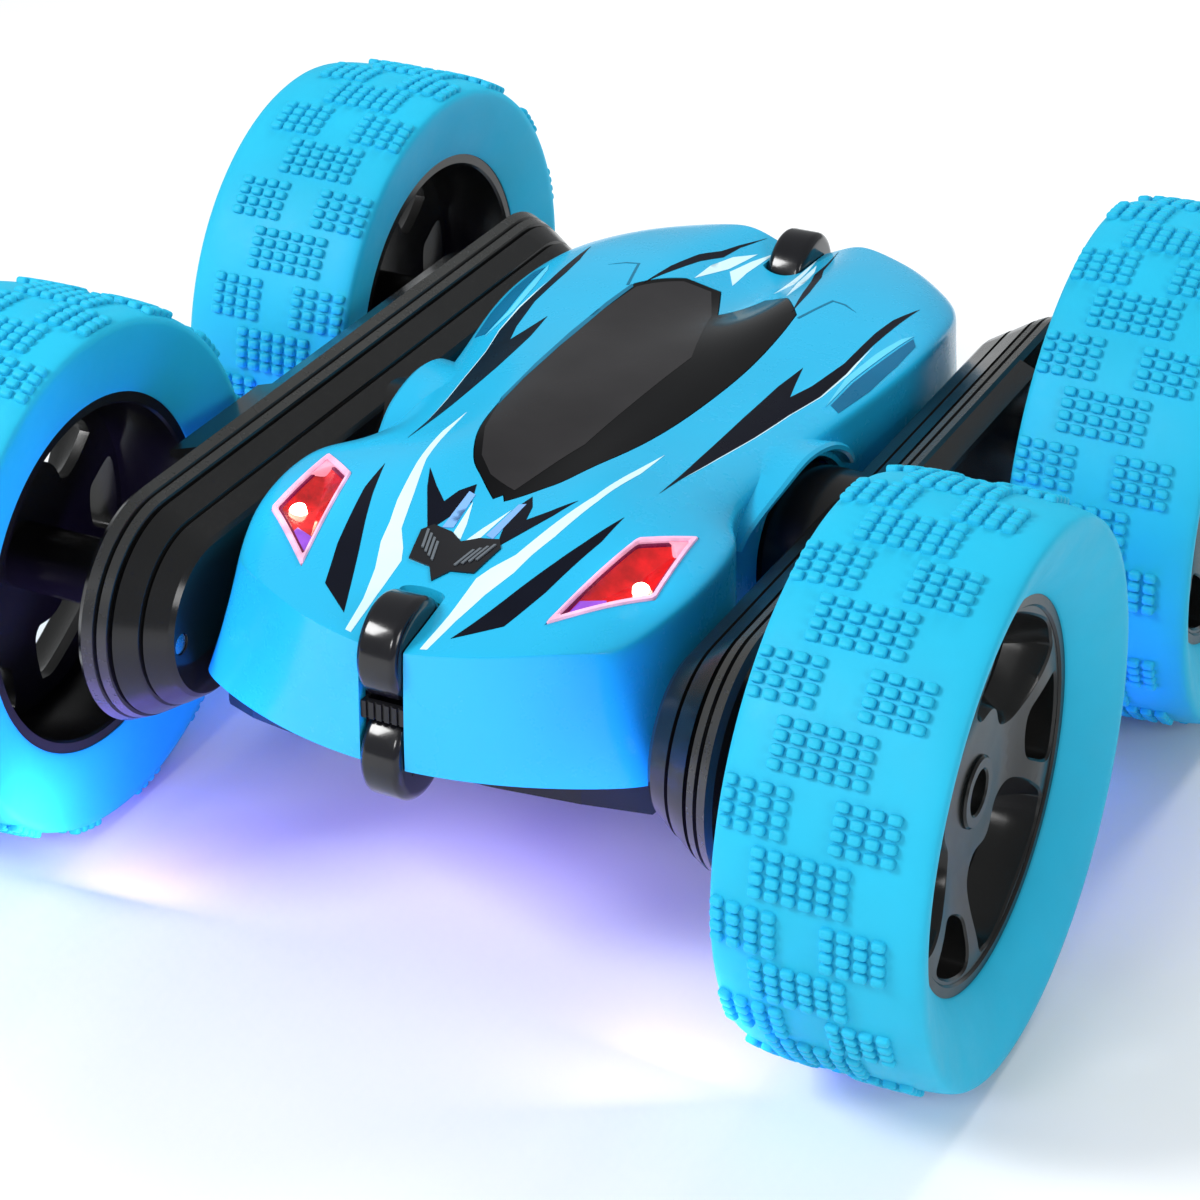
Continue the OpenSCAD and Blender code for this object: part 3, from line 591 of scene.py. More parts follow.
# The openings' walls end in a straight throat of this height, and draw in faster towards it
THROAT_H = 1.6
THROAT_CURVE = 1.6


def barrel_profile():
    """The rim's barrel with its two flanges, as (u, r)."""
    return [(RIM_BACK, OPEN_R + 0.2), (RIM_BACK, LIP_R - 0.4), (RIM_BACK + 0.4, LIP_R),
            (RIM_BACK + LIP_W, LIP_R), (RIM_BACK + FLANGE_W, SEAT_R), (RIM_FACE - FLANGE_W, SEAT_R),
            (RIM_FACE - LIP_W, LIP_R), (RIM_FACE - 0.4, LIP_R), (RIM_FACE, LIP_R - 0.4),
            (RIM_FACE, OPEN_R + 0.3), (RIM_FACE - 0.3, OPEN_R), (RIM_FACE - 3, OPEN_R - 0.05),
            (RIM_BACK + 0.4, OPEN_R - 0.1)]


def hub_profile():
    """The hub with a shallow recess in its face, as (u, r)."""
    face = RIM_FACE - 1.9
    return [(HUB_BACK, HUB_BORE_R), (HUB_BACK, HUB_R - 0.3), (HUB_BACK + 0.3, HUB_R), (face - 0.3, HUB_R),
            (face, HUB_R - 0.3), (face, HUB_HOLE_R + 0.25), (face - 0.25, HUB_HOLE_R),
            (face - 2.0, HUB_HOLE_R), (face - 2.0, HUB_BORE_R)]


def rim(side_name, end_name):
    """A rim whose dished face has three windows and three pockets."""
    put, place = wheel_frame(side_name, end_name)

    def dish(p):
        return lerp(RIM_FACE - DISH_MIDDLE, RIM_FACE - DISH_EDGE, smooth_step(*DISH_RADII, math.hypot(*p)))

    made = Shape()
    made.lathe(barrel_profile(), place, RIM_SEGMENTS)
    made.lathe(hub_profile(), place, 64)

    ring = [polar(OPEN_R + 0.25, 360 * k / RIM_SEGMENTS) for k in range(RIM_SEGMENTS)]
    core = [polar(HUB_R - 0.5, 360 * k / 36) for k in range(36)]

    def plate(holes, spacing, depth):
        """Fills the ring round the holes, each point at the u that depth gives."""
        verts, faces = fill_plate(ring, [*holes, core], spacing)
        ids = made.add(put(depth((v.x, v.y)), (v.x, v.y)) for v in verts)
        made.faces += [tuple(ids[i] for i in face) for face in faces]

    window_loop = spline(mirrored(WINDOW_HALF, 60), 6, closed=True)
    pocket_loop = spline(mirrored(POCKET_HALF, 0), 5, closed=True)
    openings = [(turned(window_loop, 120 * k), WINDOW_STEPS) for k in range(3)]
    openings += [(turned(pocket_loop, 120 * k), POCKET_STEPS) for k in range(3)]
    face_holes = [inset_loop(loop, -CHAMFER) for loop, _ in openings]
    plate(face_holes, 1.3, dish)
    throats = []
    for (loop, steps), outside in zip(openings, face_holes):
        throat = inset_loop(inset_loop(loop, steps[0]), steps[1])
        throats.append(throat)
        walls = [[put(dish(o), o) for o in outside],
                 [put(dish(p) - CHAMFER, p) for p in loop]]
        for share in (0.3, 0.65, 1.0):
            drawn = share ** THROAT_CURVE
            walls.append([put(lerp(dish(p) - CHAMFER, BACK_U + THROAT_H, share),
                              (lerp(p[0], t[0], drawn), lerp(p[1], t[1], drawn)))
                          for p, t in zip(loop, throat)])
        walls.append([put(BACK_U, t) for t in throat])
        made.rings(walls)
    plate(throats, 2.2, lambda p: BACK_U)
    for edge in (ring, core):
        made.rings([[put(dish(p), p) for p in edge], [put(BACK_U, p) for p in edge]])
    wheel = f"{side_name}_{end_name}"
    mesh_piece(f"{wheel}_spoked_rim", made, "rim_black", f"{wheel}_wheel", [f"{wheel}_rim"],
               smooth=30)


# ---------- upper shell ----------
# Rows from nose to tail: y on the centreline, y at the edge, half width of the shoulder, then the height on
# the centreline, at the hood's ridge, at three quarters and at the shoulder, and the half width of the skirt
ROWS = [
    (-67.6, -57.0, 26.5, 49.0, 49.6, 50.2, 49.8, 33.1),
    (-66.2, -54.6, 28.0, 49.5, 50.0, 50.6, 50.2, 33.1),
    (-61.0, -50.6, 29.6, 50.4, 50.8, 51.7, 51.0, 33.1),
    (-54.5, -45.5, 31.2, 52.0, 52.6, 53.2, 52.0, 33.1),
    (-48.0, -39.5, 32.0, 53.6, 54.6, 54.2, 52.8, 33.1),
    (-41.0, -33.5, 32.0, 54.4, 56.2, 55.0, 53.3, 33.0),
    (-34.0, -28.4, 31.0, 55.2, 57.4, 55.2, 53.4, 32.4),
    (-28.0, -25.0, 28.6, 56.0, 57.8, 55.4, 52.6, 29.6),
    (-20.0, -18.4, 25.9, 57.0, 57.6, 55.4, 52.4, 27.7),
    (-9.0, -8.6, 26.8, 57.6, 57.2, 55.2, 52.8, 27.7),
    (3.0, 2.6, 28.0, 57.6, 57.0, 55.2, 52.8, 28.4),
    (14.0, 13.0, 30.0, 57.0, 56.8, 55.4, 53.4, 30.4),
    (25.0, 23.0, 31.8, 55.4, 57.0, 55.9, 54.0, 32.4),
    (36.0, 32.5, 32.4, 53.0, 57.4, 56.2, 54.2, 33.0),
    (47.0, 42.0, 32.0, 51.6, 57.0, 56.0, 53.8, 33.1),
    (56.0, 49.6, 31.2, 51.2, 56.2, 55.2, 53.0, 32.6),
    (63.0, 55.0, 28.8, 51.0, 55.2, 54.4, 52.4, 30.6),
    (66.6, 58.0, 26.0, 50.6, 54.6, 53.8, 52.0, 28.4),
]
# Places across the top, from the centreline to the shoulder
ACROSS = (0.0, 0.11, 0.24, 0.36, 0.5, 0.64, 0.78, 0.9, 1.0)
WALL_STEPS = (0.07, 0.3, 0.65, 1.0)
# Where the ridge and the flank lie, as shares of the way from the centreline to the shoulder
RIDGE = 0.4
FLANK = 0.75
SHELL_T = 1.7


def cross(row, share):
    """A point of the top surface in one row, share from 0 at the centreline to 1 at the shoulder."""
    middle_y, edge_y, half, z0, z1, z2, z3, _ = row
    y = lerp(middle_y, edge_y, share * share)
    if share < RIDGE:
        z = lerp(z0, z1, smooth_step(0, RIDGE, share))
    elif share < FLANK:
        z = lerp(z1, z2, (share - RIDGE) / (FLANK - RIDGE))
    else:
        z = lerp(z2, z3, ((share - FLANK) / (1 - FLANK)) ** 1.5)
    return (share * half, y, z)


def wall(row, share):
    """A point of the side wall, share from 0 at the shoulder to 1 at the skirt."""
    x, y, z = cross(row, 1.0)
    waist = math.sin(math.pi * share) * 0.6
    back = 1.5 * share if y > 40 else 0
    return (lerp(x, row[7], share ** 0.8) - waist, y + back, lerp(z, SKIRT_Z, share))


def shell_cage():
    """The shell's outer surface as quads: the top, the two side walls, the nose face and the tail face."""
    made = Shape()
    index = {}

    def put(key, p):
        if key not in index:
            index[key] = made.add([p])[0]
        return index[key]

    last = len(ACROSS) - 1
    rows = len(ROWS) - 1
    for i, row in enumerate(ROWS):
        for j in range(-last, last + 1):
            x, y, z = cross(row, ACROSS[abs(j)])
            put(("t", i, j), (math.copysign(x, j), y, z))
        for s in (-1, 1):
            for k, share in enumerate(WALL_STEPS):
                x, y, z = wall(row, share)
                put(("w", i, s, k), (s * x, y, z))
    for i, face in ((0, "nose"), (rows, "tail")):
        lean = 0.5 if face == "nose" else -0.8
        for k, share in enumerate(WALL_STEPS):
            for j in range(-last, last + 1):
                s = 1 if j > 0 else -1
                if abs(j) == last:
                    index[(face, k, j)] = index[("w", i, s, k)]
                    continue
                x, y, z = cross(ROWS[i], ACROSS[abs(j)])
                wide = lerp(1, ROWS[i][7] / ROWS[i][2], share)
                bulge = lean * math.sin(math.pi * share * 0.6)
                put((face, k, j), (math.copysign(x * wide, j), y - bulge, lerp(z, SKIRT_Z, share)))

    def quad(*keys):
        made.faces.append(tuple(index[k] for k in keys))

    for i in range(rows):
        for j in range(-last, last):
            quad(("t", i, j), ("t", i, j + 1), ("t", i + 1, j + 1), ("t", i + 1, j))
        for s in (-1, 1):
            quad(("t", i, s * last), ("w", i, s, 0), ("w", i + 1, s, 0), ("t", i + 1, s * last))
            for k in range(len(WALL_STEPS) - 1):
                quad(("w", i, s, k), ("w", i, s, k + 1), ("w", i + 1, s, k + 1), ("w", i + 1, s, k))
    for i, face in ((0, "nose"), (rows, "tail")):
        for j in range(-last, last):
            quad(("t", i, j), (face, 0, j), (face, 0, j + 1), ("t", i, j + 1))
            for k in range(len(WALL_STEPS) - 1):
                quad((face, k, j), (face, k + 1, j), (face, k + 1, j + 1), (face, k, j + 1))
    return made


# The blade's upper line from front to rear, then its section: out, and down towards the pivot
FIN = [(28.0, -20.8, 46.9), (28.4, -19.6, 48.6), (29.0, -17.0, 50.3), (30.0, -11.5, 52.6), (30.5, -4.0, 54.0),
       (31.0, 3.0, 53.0), (31.2, 8.5, 50.2), (31.0, 11.6, 47.2)]
FIN_SECTION = [(-6.5, -0.1), (-2.5, 0.1), (-0.5, -0.1), (0.0, 0.25), (0.0, 0.85), (-0.4, 1.15), (-6.5, 1.6)]


def fin(side):
    """The lip that stands over the arm's pivot: a curved blade, its flat underside facing the pivot."""
    made = Shape()
    loops = []
    for x, y, z in spline(FIN, 5):
        away = math.hypot(y, z - AXLE_Z)
        down = (-y / away, (AXLE_Z - z) / away)
        loops.append([(side * (x + dx), y + down[0] * depth, z + down[1] * depth)
                      for dx, depth in FIN_SECTION])
    made.rings(loops, cap_first=True, cap_last=True)
    return made


SLOT_HALF = 3.2
SLOT_FRONT_Y = -55.4
SLOT_REAR_Y = 55.8
GLASS = [(0.8, -35.9), (4.2, -32.6), (7.2, -29.3), (10.3, -21.6), (12.3, -11.2), (13.5, 1.4), (14.0, 13.0),
         (13.7, 24.0), (13.0, 32.0), (8.2, 39.8)]
LAMP = [(17.4, -57.0), (27.9, -47.0), (27.3, -32.6), (21.0, -37.6)]


def both_halves(half):
    """A half outline from the centreline and its mirror image, as one loop."""
    return half + [(-x, y) for x, y in reversed(half)]


def glass_outline():
    """The window: smooth sides, a notch at the front tip and a tongue at the rear."""
    return both_halves([(0.01, -34.6), *spline(GLASS[:-1], 4), GLASS[-1], (3.6, 42.4), (0.01, 33.4)])


def slot_shape(end_name):
    """The roller slot: straight sides and a flat arc as its inner end."""
    sign = ENDS[end_name]
    inner = SLOT_FRONT_Y if end_name == "front" else SLOT_REAR_Y
    depth = sign * SLOT_HALF * 0.35
    outer_y = sign * 75
    points = [(SLOT_HALF, outer_y), (SLOT_HALF, inner + depth)]
    points += [(SLOT_HALF * math.cos(a), inner + depth * (1 - math.sin(a)))
               for a in [math.radians(d) for d in range(15, 166, 15)]]
    points += [(-SLOT_HALF, inner + depth), (-SLOT_HALF, outer_y)]
    return prism(points, 15, 70)


def rod(x0, x1, r, segments=64):
    """A round bar along the arms' pivot axis."""
    made = Shape()
    turns = [2 * math.pi * k / segments for k in range(segments)]
    made.rings([[(x, r * math.cos(a), AXLE_Z + r * math.sin(a)) for a in turns] for x in (x0, x1)],
               cap_first=True, cap_last=True)
    return made


def on_row(p, row):
    """Whether a point lies on the top surface's edge in that row."""
    _, y, z = cross(row, min(1, abs(p.x) / row[2]))
    return abs(p.z - z) < 0.02 and abs(p.y - y) < 0.02


def crease_edges(mesh):
    """Firm folds along the nose's top edge, the tail's top edge and the skirt."""
    made = bmesh.new()
    made.from_mesh(mesh)
    layer = made.edges.layers.float.new("crease_edge")
    for edge in made.edges:
        a, b = (v.co / MM for v in edge.verts)
        for row in (ROWS[0], ROWS[-1]):
            if on_row(a, row) and on_row(b, row):
                edge[layer] = 0.75 if abs(a.x) < 0.7 * row[2] else 0.5
        if max(a.z, b.z) < SKIRT_Z + 0.01:
            edge[layer] = 1.0
    made.to_mesh(mesh)
    made.free()


# The opening for the arm's pivot, and the levels between which the roof's openings are cut
PIVOT_HOLE_R = 13.2
CUT_LOW = 44
CUT_HIGH = 64


def upper_shell():
    """The painted shell with its openings. Returns its closed outer surface, to lay other pieces on."""
    shell = mesh_piece("painted_shell", shell_cage(), "blue_paint", "root", ["upper_shell"],
                       smooth=180)
    crease_edges(shell.data)
    smooth = shell.modifiers.new("smooth", "SUBSURF")
    smooth.levels = smooth.render_levels = 3
    bake_modifiers(shell)
    skin = BVHTree.FromObject(shell, bpy.context.evaluated_depsgraph_get())
    thick = shell.modifiers.new("thick", "SOLIDIFY")
    thick.thickness = SHELL_T * MM
    thick.offset = -1
    bake_modifiers(shell)
    for side in SIDES.values():
        cut(shell, fin(side), "UNION")
    for side in SIDES.values():
        cut(shell, rod(side * 22, side * 40, PIVOT_HOLE_R))
        cut(shell, prism([(side * x, y) for x, y in LAMP], CUT_LOW, CUT_HIGH))
    cut(shell, prism(glass_outline(), CUT_LOW, CUT_HIGH))
    for end_name in ENDS:
        cut(shell, slot_shape(end_name))
    shell.data.shade_smooth()
    shell.data.set_sharp_from_angle(angle=math.radians(32))
    return skin


# A level above the whole car, and one near the roof to search from where nothing is hit
SKY_Z = 90
ROOF_Z = 52


def drop(skin, x, y, lift):
    """The point of the shell's outer surface above (x, y), moved out by lift."""
    hit, normal, _, _ = skin.ray_cast(Vector((x * MM, y * MM, SKY_Z * MM)), Vector((0, 0, -1)))
    if hit is None:
        hit, normal, _, _ = skin.find_nearest(Vector((x * MM, y * MM, ROOF_Z * MM)))
    return tuple((hit + normal * (lift * MM if normal.z > 0 else -lift * MM)) / MM)


def draped(name, outline, skin, material, lift=0.05, thick=0.12, spacing=0.9, replaces=()):
    """A thin flat piece that lies on the shell and follows it."""
    fine = []
    for a, b in zip(outline, outline[1:] + outline[:1]):
        parts = max(1, round(math.dist(a, b) / spacing))
        fine += [(lerp(a[0], b[0], k / parts), lerp(a[1], b[1], k / parts)) for k in range(parts)]
    verts, faces = fill_plate(fine, [], spacing)
    made = Shape()
    top = made.add(drop(skin, v.x, v.y, lift) for v in verts)
    low = made.add(drop(skin, v.x, v.y, lift - thick) for v in verts)
    made.faces += [tuple(top[i] for i in face) for face in faces]
    made.faces += [tuple(low[i] for i in reversed(face)) for face in faces]
    count = len(fine)
    made.faces += [(top[i], low[i], low[(i + 1) % count], top[(i + 1) % count]) for i in range(count)]
    mesh_piece(name, made, material, "root", replaces, smooth=40)


# Printed shapes on one side of the body, and a patch of painted shade on the rear flank: name, material, lift,
# outline as (x, y)
PRINTS_AND_PAINTED_SHADE = [
    ("white_spear", "print_white", 0.05,
     [(4.9, -66.2), (5.3, -59.0), (5.4, -52.2), (6.3, -50.1), (8.3, -46.9), (10.1, -40.3), (12.4, -32.6),
      (14.0, -22.6), (14.9, -16.7), (14.7, -23.8), (13.2, -33.6), (11.5, -42.2), (10.3, -46.4), (9.6, -50.0),
      (7.9, -54.6), (6.6, -60.0), (5.8, -66.0)]),
    ("black_spear", "print_black", 0.05,
     [(7.6, -63.2), (9.0, -59.4), (11.6, -52.2), (13.7, -46.7), (15.4, -41.9), (17.6, -34.6), (17.3, -40.6),
      (16.1, -46.5), (15.0, -51.8), (12.8, -58.9)]),
    ("zigzag", "print_black", 0.05,
     [(10.9, -34.4), (8.3, -37.4), (6.0, -39.6), (5.4, -36.6), (4.1, -34.1), (2.9, -37.8), (4.2, -43.2),
      (5.0, -46.0), (7.4, -41.6), (9.2, -38.3)]),
    ("pale_bar", "print_pale", 0.1, [(2.4, -43.8), (3.2, -36.2), (4.2, -36.0), (3.7, -44.4)]),
    ("white_spike", "print_white", 0.05, [(2.8, -37.6), (1.2, -42.4), (0.4, -45.6), (1.8, -45.4)]),
    ("side_swoosh", "print_black", 0.05,
     [(18.7, -26.4), (18.7, -14.0), (18.9, -0.3), (19.3, 10.8), (20.1, 17.7), (21.0, 13.0), (21.8, 9.2),
      (23.1, 13.7), (24.5, 22.2), (24.8, 33.1), (25.3, 38.6), (26.8, 45.4), (26.3, 36.4), (25.9, 29.1),
      (25.8, 19.8), (25.1, 12.2), (23.5, 5.0), (22.1, -3.8), (20.6, -11.8), (19.2, -20.4)]),
    ("swoosh_edge", "print_white", 0.03,
     [(19.3, -20.0), (20.8, -11.4), (22.3, -3.4), (23.7, 5.4), (25.3, 12.4), (26.1, 20.0), (26.1, 29.1),
      (25.7, 20.0), (25.0, 12.6), (23.4, 5.4), (22.0, -3.4), (20.5, -11.4)]),
    # painted shade: the rear flank darker where it slopes down away from the light
    ("rear_painted_shade", "painted_shade", 0.1,
     [(29.6, 35.6), (28.6, 27.2), (27.4, 18.4), (27.0, 11.4), (28.4, 10.8), (29.9, 18.6), (30.6, 27.1),
      (30.6, 34.0)]),
    ("rear_blade", "print_blade", 0.14,
     [(29.4, 36.4), (28.2, 27.4), (27.0, 18.6), (26.6, 10.6), (26.2, 18.6), (27.2, 27.6), (28.4, 34.0)]),
    ("rear_white_inner", "print_white", 0.05,
     [(3.4, 45.9), (3.7, 52.0), (3.4, 62.1), (4.6, 55.6), (5.3, 49.1)]),
    ("rear_white_outer", "print_white", 0.05,
     [(7.5, 41.0), (5.7, 49.6), (4.9, 58.6), (6.7, 53.4), (7.6, 47.2)]),
    ("rear_swoosh", "print_black", 0.05,
     [(11.9, 32.6), (11.2, 40.9), (10.0, 48.2), (8.4, 52.9), (7.6, 57.5), (6.0, 64.6), (7.2, 57.0),
      (7.5, 51.6), (9.0, 46.6), (10.2, 40.5)]),
    ("hatch_line", "teal_print_and_painted_reflection", 0.04,
     [(13.4, 31.0), (15.5, 39.2), (17.7, 39.0), (20.0, 37.4), (17.6, 38.6), (15.8, 38.8), (13.8, 30.8)]),
]

# The window's paler half and the band of light along its right side, both painted reflections on the dark
# glass
WINDOW_PAINTED_REFLECTION = [(-11.6, -14.0), (-12.7, -4.0), (-13.2, 8.0), (-13.1, 22.0), (-12.2, 31.0), (-8.0, 38.4),
               (-4.4, 40.4), (-0.6, 32.2), (5.5, 12.0), (4.6, -20.0), (0.9, -33.0), (-3.6, -31.2),
               (-6.5, -28.2), (-9.6, -21.4)]
WINDOW_BAND = [(-12.5, -11.2), (-13.7, 1.4), (-14.1, 13.0), (-13.8, 24.0), (-13.2, 31.4), (-12.6, 30.8),
               (-13.1, 22.0), (-13.2, 8.0), (-12.7, -4.0), (-11.6, -14.0)]


def window(skin):
    """The window's dark panel and the two painted reflections on it."""
    draped("window_panel", inset_loop(glass_outline(), 0.15), skin, "window_black", lift=0.0, thick=1.2,
           spacing=1.2, replaces=["windscreen"])
    draped("window_painted_reflection_half", WINDOW_PAINTED_REFLECTION, skin, "painted_window_reflection", lift=0.04, thick=0.1, spacing=1.4)
    # painted reflection: a teal band of light along the window's right side
    draped("window_side_band", WINDOW_BAND, skin, "teal_print_and_painted_reflection", lift=0.07, thick=0.1)


def round_outline(x, y, r, count=16):
    return [(x + r * math.cos(2 * math.pi * k / count), y + r * math.sin(2 * math.pi * k / count))
            for k in range(count)]


# The lamp's nested rings: name, material, whether its middle is closed, then its steps as a share drawn in
# and a height over the shell's surface
LAMP_RINGS = [
    ("bezel", "lamp_bezel", False,
     [(0.0, -1.5), (0.0, 0.1), (0.03, 0.35), (0.11, 0.35), (0.15, 0.1), (0.15, -0.6)]),
    ("seam", "lamp_line", False, [(0.15, -0.2), (0.21, -0.3), (0.23, -0.8)]),
    ("reflector", "lamp_red", True, [(0.21, -0.5), (0.3, -0.9), (0.55, -1.7), (0.8, -2.2), (0.97, -2.3)]),
]
# What stands in the reflector: name, material, lowest and highest level, outline
LAMP_BLOCKS = [
    ("violet", "lamp_violet", -1.6, -0.35, [(18.6, -55.4), (22.9, -51.2), (22.4, -49.6), (19.3, -51.0)]),
    ("pink", "lamp_pink", -1.6, 0.1, [(25.0, -36.0), (26.9, -38.4), (26.8, -34.2), (24.2, -35.8)]),
    ("bulb", "led_white", -2.4, -0.7, round_outline(25.2, -45.2, 1.15)),
]


def lamp_loop(skin, side, share, lift, count=12):
    """The lamp's outline drawn in towards its middle by a share, at a height over the shell's surface."""
    corners = [(side * x, y) for x, y in LAMP]
    mid = (sum(p[0] for p in corners) / 4, sum(p[1] for p in corners) / 4)
    loop = []
    for a, b in zip(corners, corners[1:] + corners[:1]):
        for k in range(count):
            t = lerp(0.03, 0.97, k / (count - 1))
            x, y = lerp(a[0], b[0], t), lerp(a[1], b[1], t)
            loop.append(drop(skin, lerp(x, mid[0], share), lerp(y, mid[1], share), lift))
    return loop


def lamp(skin, side_name):
    """A recessed headlamp: pale bezel, dark seam, red reflector, lit bulb and coloured corner blocks."""
    side = SIDES[side_name]
    for name, material, closed, steps in LAMP_RINGS:
        made = Shape()
        made.rings([lamp_loop(skin, side, *step) for step in steps], cap_last=closed)
        mesh_piece(f"lamp_{name}_{side_name}", made, material, "root",
                   [f"lamp_lens_{side_name}"], smooth=25)
    for name, material, low, high, outline in LAMP_BLOCKS:
        made = Shape()
        mid = [sum(p[i] for p in outline) / len(outline) for i in (0, 1)]
        loops = []
        for share, lift in ((0.0, low), (0.0, high - 0.3), (0.18, high - 0.08), (0.5, high),
                            (0.95, high + 0.05)):
            loops.append([drop(skin, side * lerp(x, mid[0], share), lerp(y, mid[1], share), lift)
                          for x, y in outline])
        made.rings(loops, cap_first=True, cap_last=True)
        mesh_piece(f"lamp_{name}_{side_name}", made, material, "root", smooth=40)


GRILLE = [(0.01, -54.2), (1.5, -51.9), (4.7, -51.5), (5.8, -46.2), (4.8, -44.5), (2.0, -44.8), (0.01, -46.2)]
SLAT = [(0, 0), (0.35, 0), (1.3, 3.4), (0.95, 3.4)]


def grille(skin):
    """The black crest on the hood with slanting slats on each side."""
    draped("grille", both_halves(GRILLE), skin, "black_gloss", lift=0.25, thick=1.2, spacing=1.2,
           replaces=["hood_vent"])
    for side_name, side in SIDES.items():
        for k in range(4):
            x, y = 1.5 + 0.75 * k, -50.9 + 0.55 * k
            slat = [(side * (x + dx), y + dy) for dx, dy in SLAT]
            draped(f"grille_slat_{side_name}_{k}", slat, skin, "print_grey", lift=0.45, thick=0.3)


ROLLER_SHOULDER = 1.5
ROLLER_ROUND = 1.2
ROLLER_BORE_R = 1.3


def roller(node):
    """A bumper roller with soft shoulders."""
    low, high = span(node)
    mid = (low + high) / 2
    half = (high.x - low.x) / 2
    flank_r = (high.z - low.z) / 2 - ROLLER_SHOULDER
    profile = [(-half, ROLLER_BORE_R), (-half, flank_r)]
    profile += [(-half + ROLLER_ROUND - ROLLER_ROUND * math.cos(a), flank_r + ROLLER_SHOULDER * math.sin(a))
                for a in [math.radians(15 * k) for k in range(1, 7)]]
    profile += [(-u, r) for u, r in reversed(profile)]

    def place(u, r, a):
        return (mid.x + u, mid.y + r * math.cos(a), mid.z + r * math.sin(a))

    made = Shape()
    made.lathe(profile, place, 72)
    mesh_piece(f"{node}_wheel", made, "black_gloss", node, [node], smooth=40)


# ---------- carried-over nodes ----------
INNER = {
    "black_satin": ["lower_shell", "bearing_cap_left", "bearing_cap_right", "battery_cover",
                    "front_roller_carrier", "rear_roller_carrier"],
    "led_white": ["headlamp_leds"],
    "battery_wrap": ["battery_pack"],
    "board_green": ["circuit_board"],
    "underglow": ["underglow_lens"],
    "switch_grey": ["power_switch"],
    "spring_brass": ["brush_blocks", *[f"{s}_{n}" for s in SIDES for n in ("motor_pinion", "slip_rings")]],
    "screw_steel": ["body_screws", *[f"{s}_{n}" for s in SIDES
                                     for n in ("housing_screws", "front_axle", "rear_axle")]],
    "motor_can": [f"{s}_drive_motor" for s in SIDES],
    "gear_white": [f"{s}_{e}_{n}" for s in SIDES for e in ENDS
                   for n in ("idler_inner", "idler_outer", "wheel_gear")],
    "arm_black": [f"{s}_{n}" for s in SIDES for n in ("inner_housing", "outer_housing")],
}
BEVELLED = ("arm_black", "black_satin")


def dress(node, material):
    """Gives a CAD node its material, and softens its edges where they show."""
    piece = nodes[node]
    piece.data.materials.clear()
    piece.data.materials.append(MAT[material])
    piece.data.shade_smooth()
    piece.data.set_sharp_from_angle(angle=math.radians(30))
    if material in BEVELLED:
        edges = piece.modifiers.new("edges", "BEVEL")
        edges.width = 0.12 * MM
        edges.segments = 2
        edges.limit_method = "ANGLE"
        edges.angle_limit = math.radians(30)
        edges.harden_normals = False


# Ranges of x, out from the middle of the car, where the outer housing is satin instead of gloss
ARM_BANDS = [(41.55, 42.75), (43.25, 44.65)]


def satin_bands(node):
    """Gives the raised bands round an outer housing their own finish."""
    piece = nodes[node]
    piece.data.materials.append(MAT["arm_band"])
    for face in piece.data.polygons:
        xs = [abs((piece.matrix_world @ piece.data.vertices[i].co).x) / MM for i in face.vertices]
        if any(low < min(xs) and max(xs) < high for low, high in ARM_BANDS):
            face.material_index = 1


# ---------- scene ----------
AZIMUTH = math.radians(26.217)
ELEVATION = math.radians(28.79)
DISTANCE = 489.75
AIM = (-4.3, 2.8, 20.25)
LENS = 101.6


def camera():
    """Three quarters from the front, a little above."""
    target = Vector(AIM) * MM
    back = Vector((math.sin(AZIMUTH) * math.cos(ELEVATION), -math.cos(AZIMUTH) * math.cos(ELEVATION),
                   math.sin(ELEVATION)))
    data = bpy.data.cameras.new("camera")
    data.lens = LENS
    data.sensor_width = 36
    data.clip_start = 0.01
    made = add_object("camera", data)
    made.location = target + back * DISTANCE * MM
    made.rotation_mode = "QUATERNION"
    made.rotation_quaternion = (-back).to_track_quat("-Z", "Y")
    bpy.context.scene.camera = made


def area_light(name, place_mm, target_mm, size_mm, watts, colour, glossy):
    data = bpy.data.lights.new(name, "AREA")
    data.size = size_mm * MM
    data.energy = watts
    data.color = colour
    made = add_object(name, data)
    made.location = Vector(place_mm) * MM
    made.rotation_mode = "QUATERNION"
    aim = Vector(target_mm) - Vector(place_mm)
    made.rotation_quaternion = aim.to_track_quat("-Z", "Y")
    made.visible_camera = False
    made.visible_glossy = glossy


VIOLET = (0.3, 0.2, 1.0)
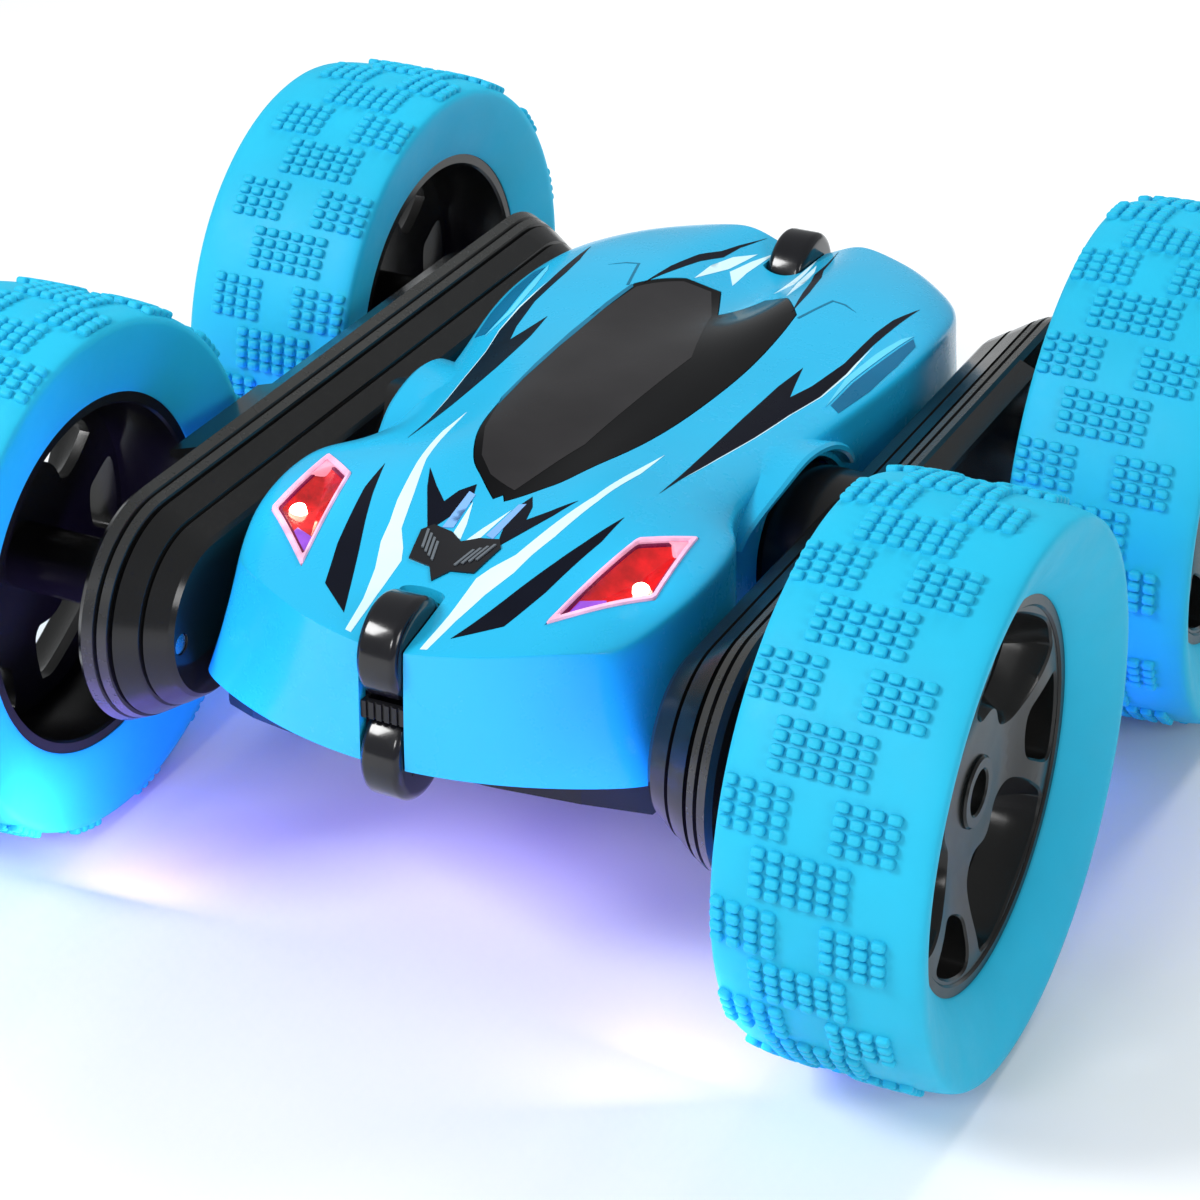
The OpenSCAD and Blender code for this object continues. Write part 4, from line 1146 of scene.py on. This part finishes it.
# Name, place, target, size, watts, colour, whether it shows in glossy surfaces
LIGHTS = [
    ("key", (-380, -420, 520), (0, 0, 30), 220, 3.8, (1, 1, 1), True),
    ("front", (-40, -640, 400), (0, 0, 30), 150, 1.1, (1, 1, 1), True),
    ("fill", (560, -260, 300), (0, 0, 30), 200, 1.0, (1, 1, 1), True),
    ("back", (60, 560, 520), (0, 0, 40), 320, 3.4, (1, 1, 1), False),
    ("nose_glow", (46, -86, 12), (28, -56, 38), 14, 0.02, VIOLET, False),
    ("drum_glow_left", (40, -78, 9), (42, -54, 30), 10, 0.02, VIOLET, False),
    ("drum_glow_right", (-42, -76, 9), (-44, -52, 30), 10, 0.05, VIOLET, False),
    ("arm_glow_left", (44, 0, 5), (42, 0, 30), 40, 0.04, VIOLET, False),
    ("arm_glow_right", (-44, 0, 5), (-42, 0, 30), 40, 0.04, VIOLET, False),
    ("lamp_glow_left", (26, -47, 61), (24, -44, 50), 3, 0.0005, (1, 0.6, 0.6), False),
    ("lamp_glow_right", (-26, -47, 61), (-24, -44, 50), 3, 0.0005, (1, 0.6, 0.6), False),
]


FLOOR_HALF = 3000


def studio():
    """A plain pale floor, a dim even sky and the lights."""
    corners = [(x * FLOOR_HALF, y * FLOOR_HALF, 0) for x, y in ((-1, -1), (1, -1), (1, 1), (-1, 1))]
    floor = add_object("floor", make_mesh("floor", corners, [(0, 1, 2, 3)]))
    n = Nodes("floor")
    tone = n.ramp(n.noise(60, 2), [(0.3, (0.88, 0.895, 0.9)), (0.7, (0.92, 0.93, 0.935))])
    n.link(tone, n.shader.inputs["Base Color"])
    n.shader.inputs["Roughness"].default_value = 0.6
    floor.data.materials.append(n.material)
    world = bpy.data.worlds.new("studio")
    bpy.context.scene.world = world
    world.use_nodes = True
    sky = world.node_tree.nodes["Background"]
    sky.inputs["Color"].default_value = (0.95, 0.98, 1, 1)
    sky.inputs["Strength"].default_value = 0.36
    for light in LIGHTS:
        area_light(*light)
    bpy.context.scene.view_settings.view_transform = "Standard"


camera()
studio()
for side_name in SIDES:
    for end_name in ENDS:
        tyre(side_name, end_name)
        rim(side_name, end_name)
skin = upper_shell()
window(skin)
for side_name, side in SIDES.items():
    for name, material, lift, outline in PRINTS_AND_PAINTED_SHADE:
        draped(f"{name}_{side_name}", [(side * x, y) for x, y in outline], skin, material, lift=lift)
    lamp(skin, side_name)
grille(skin)
for end_name in ENDS:
    for level in ("upper", "lower"):
        roller(f"{end_name}_roller_{level}")
for material, names in INNER.items():
    for node in names:
        dress(node, material)
for side_name in SIDES:
    satin_bands(f"{side_name}_outer_housing")
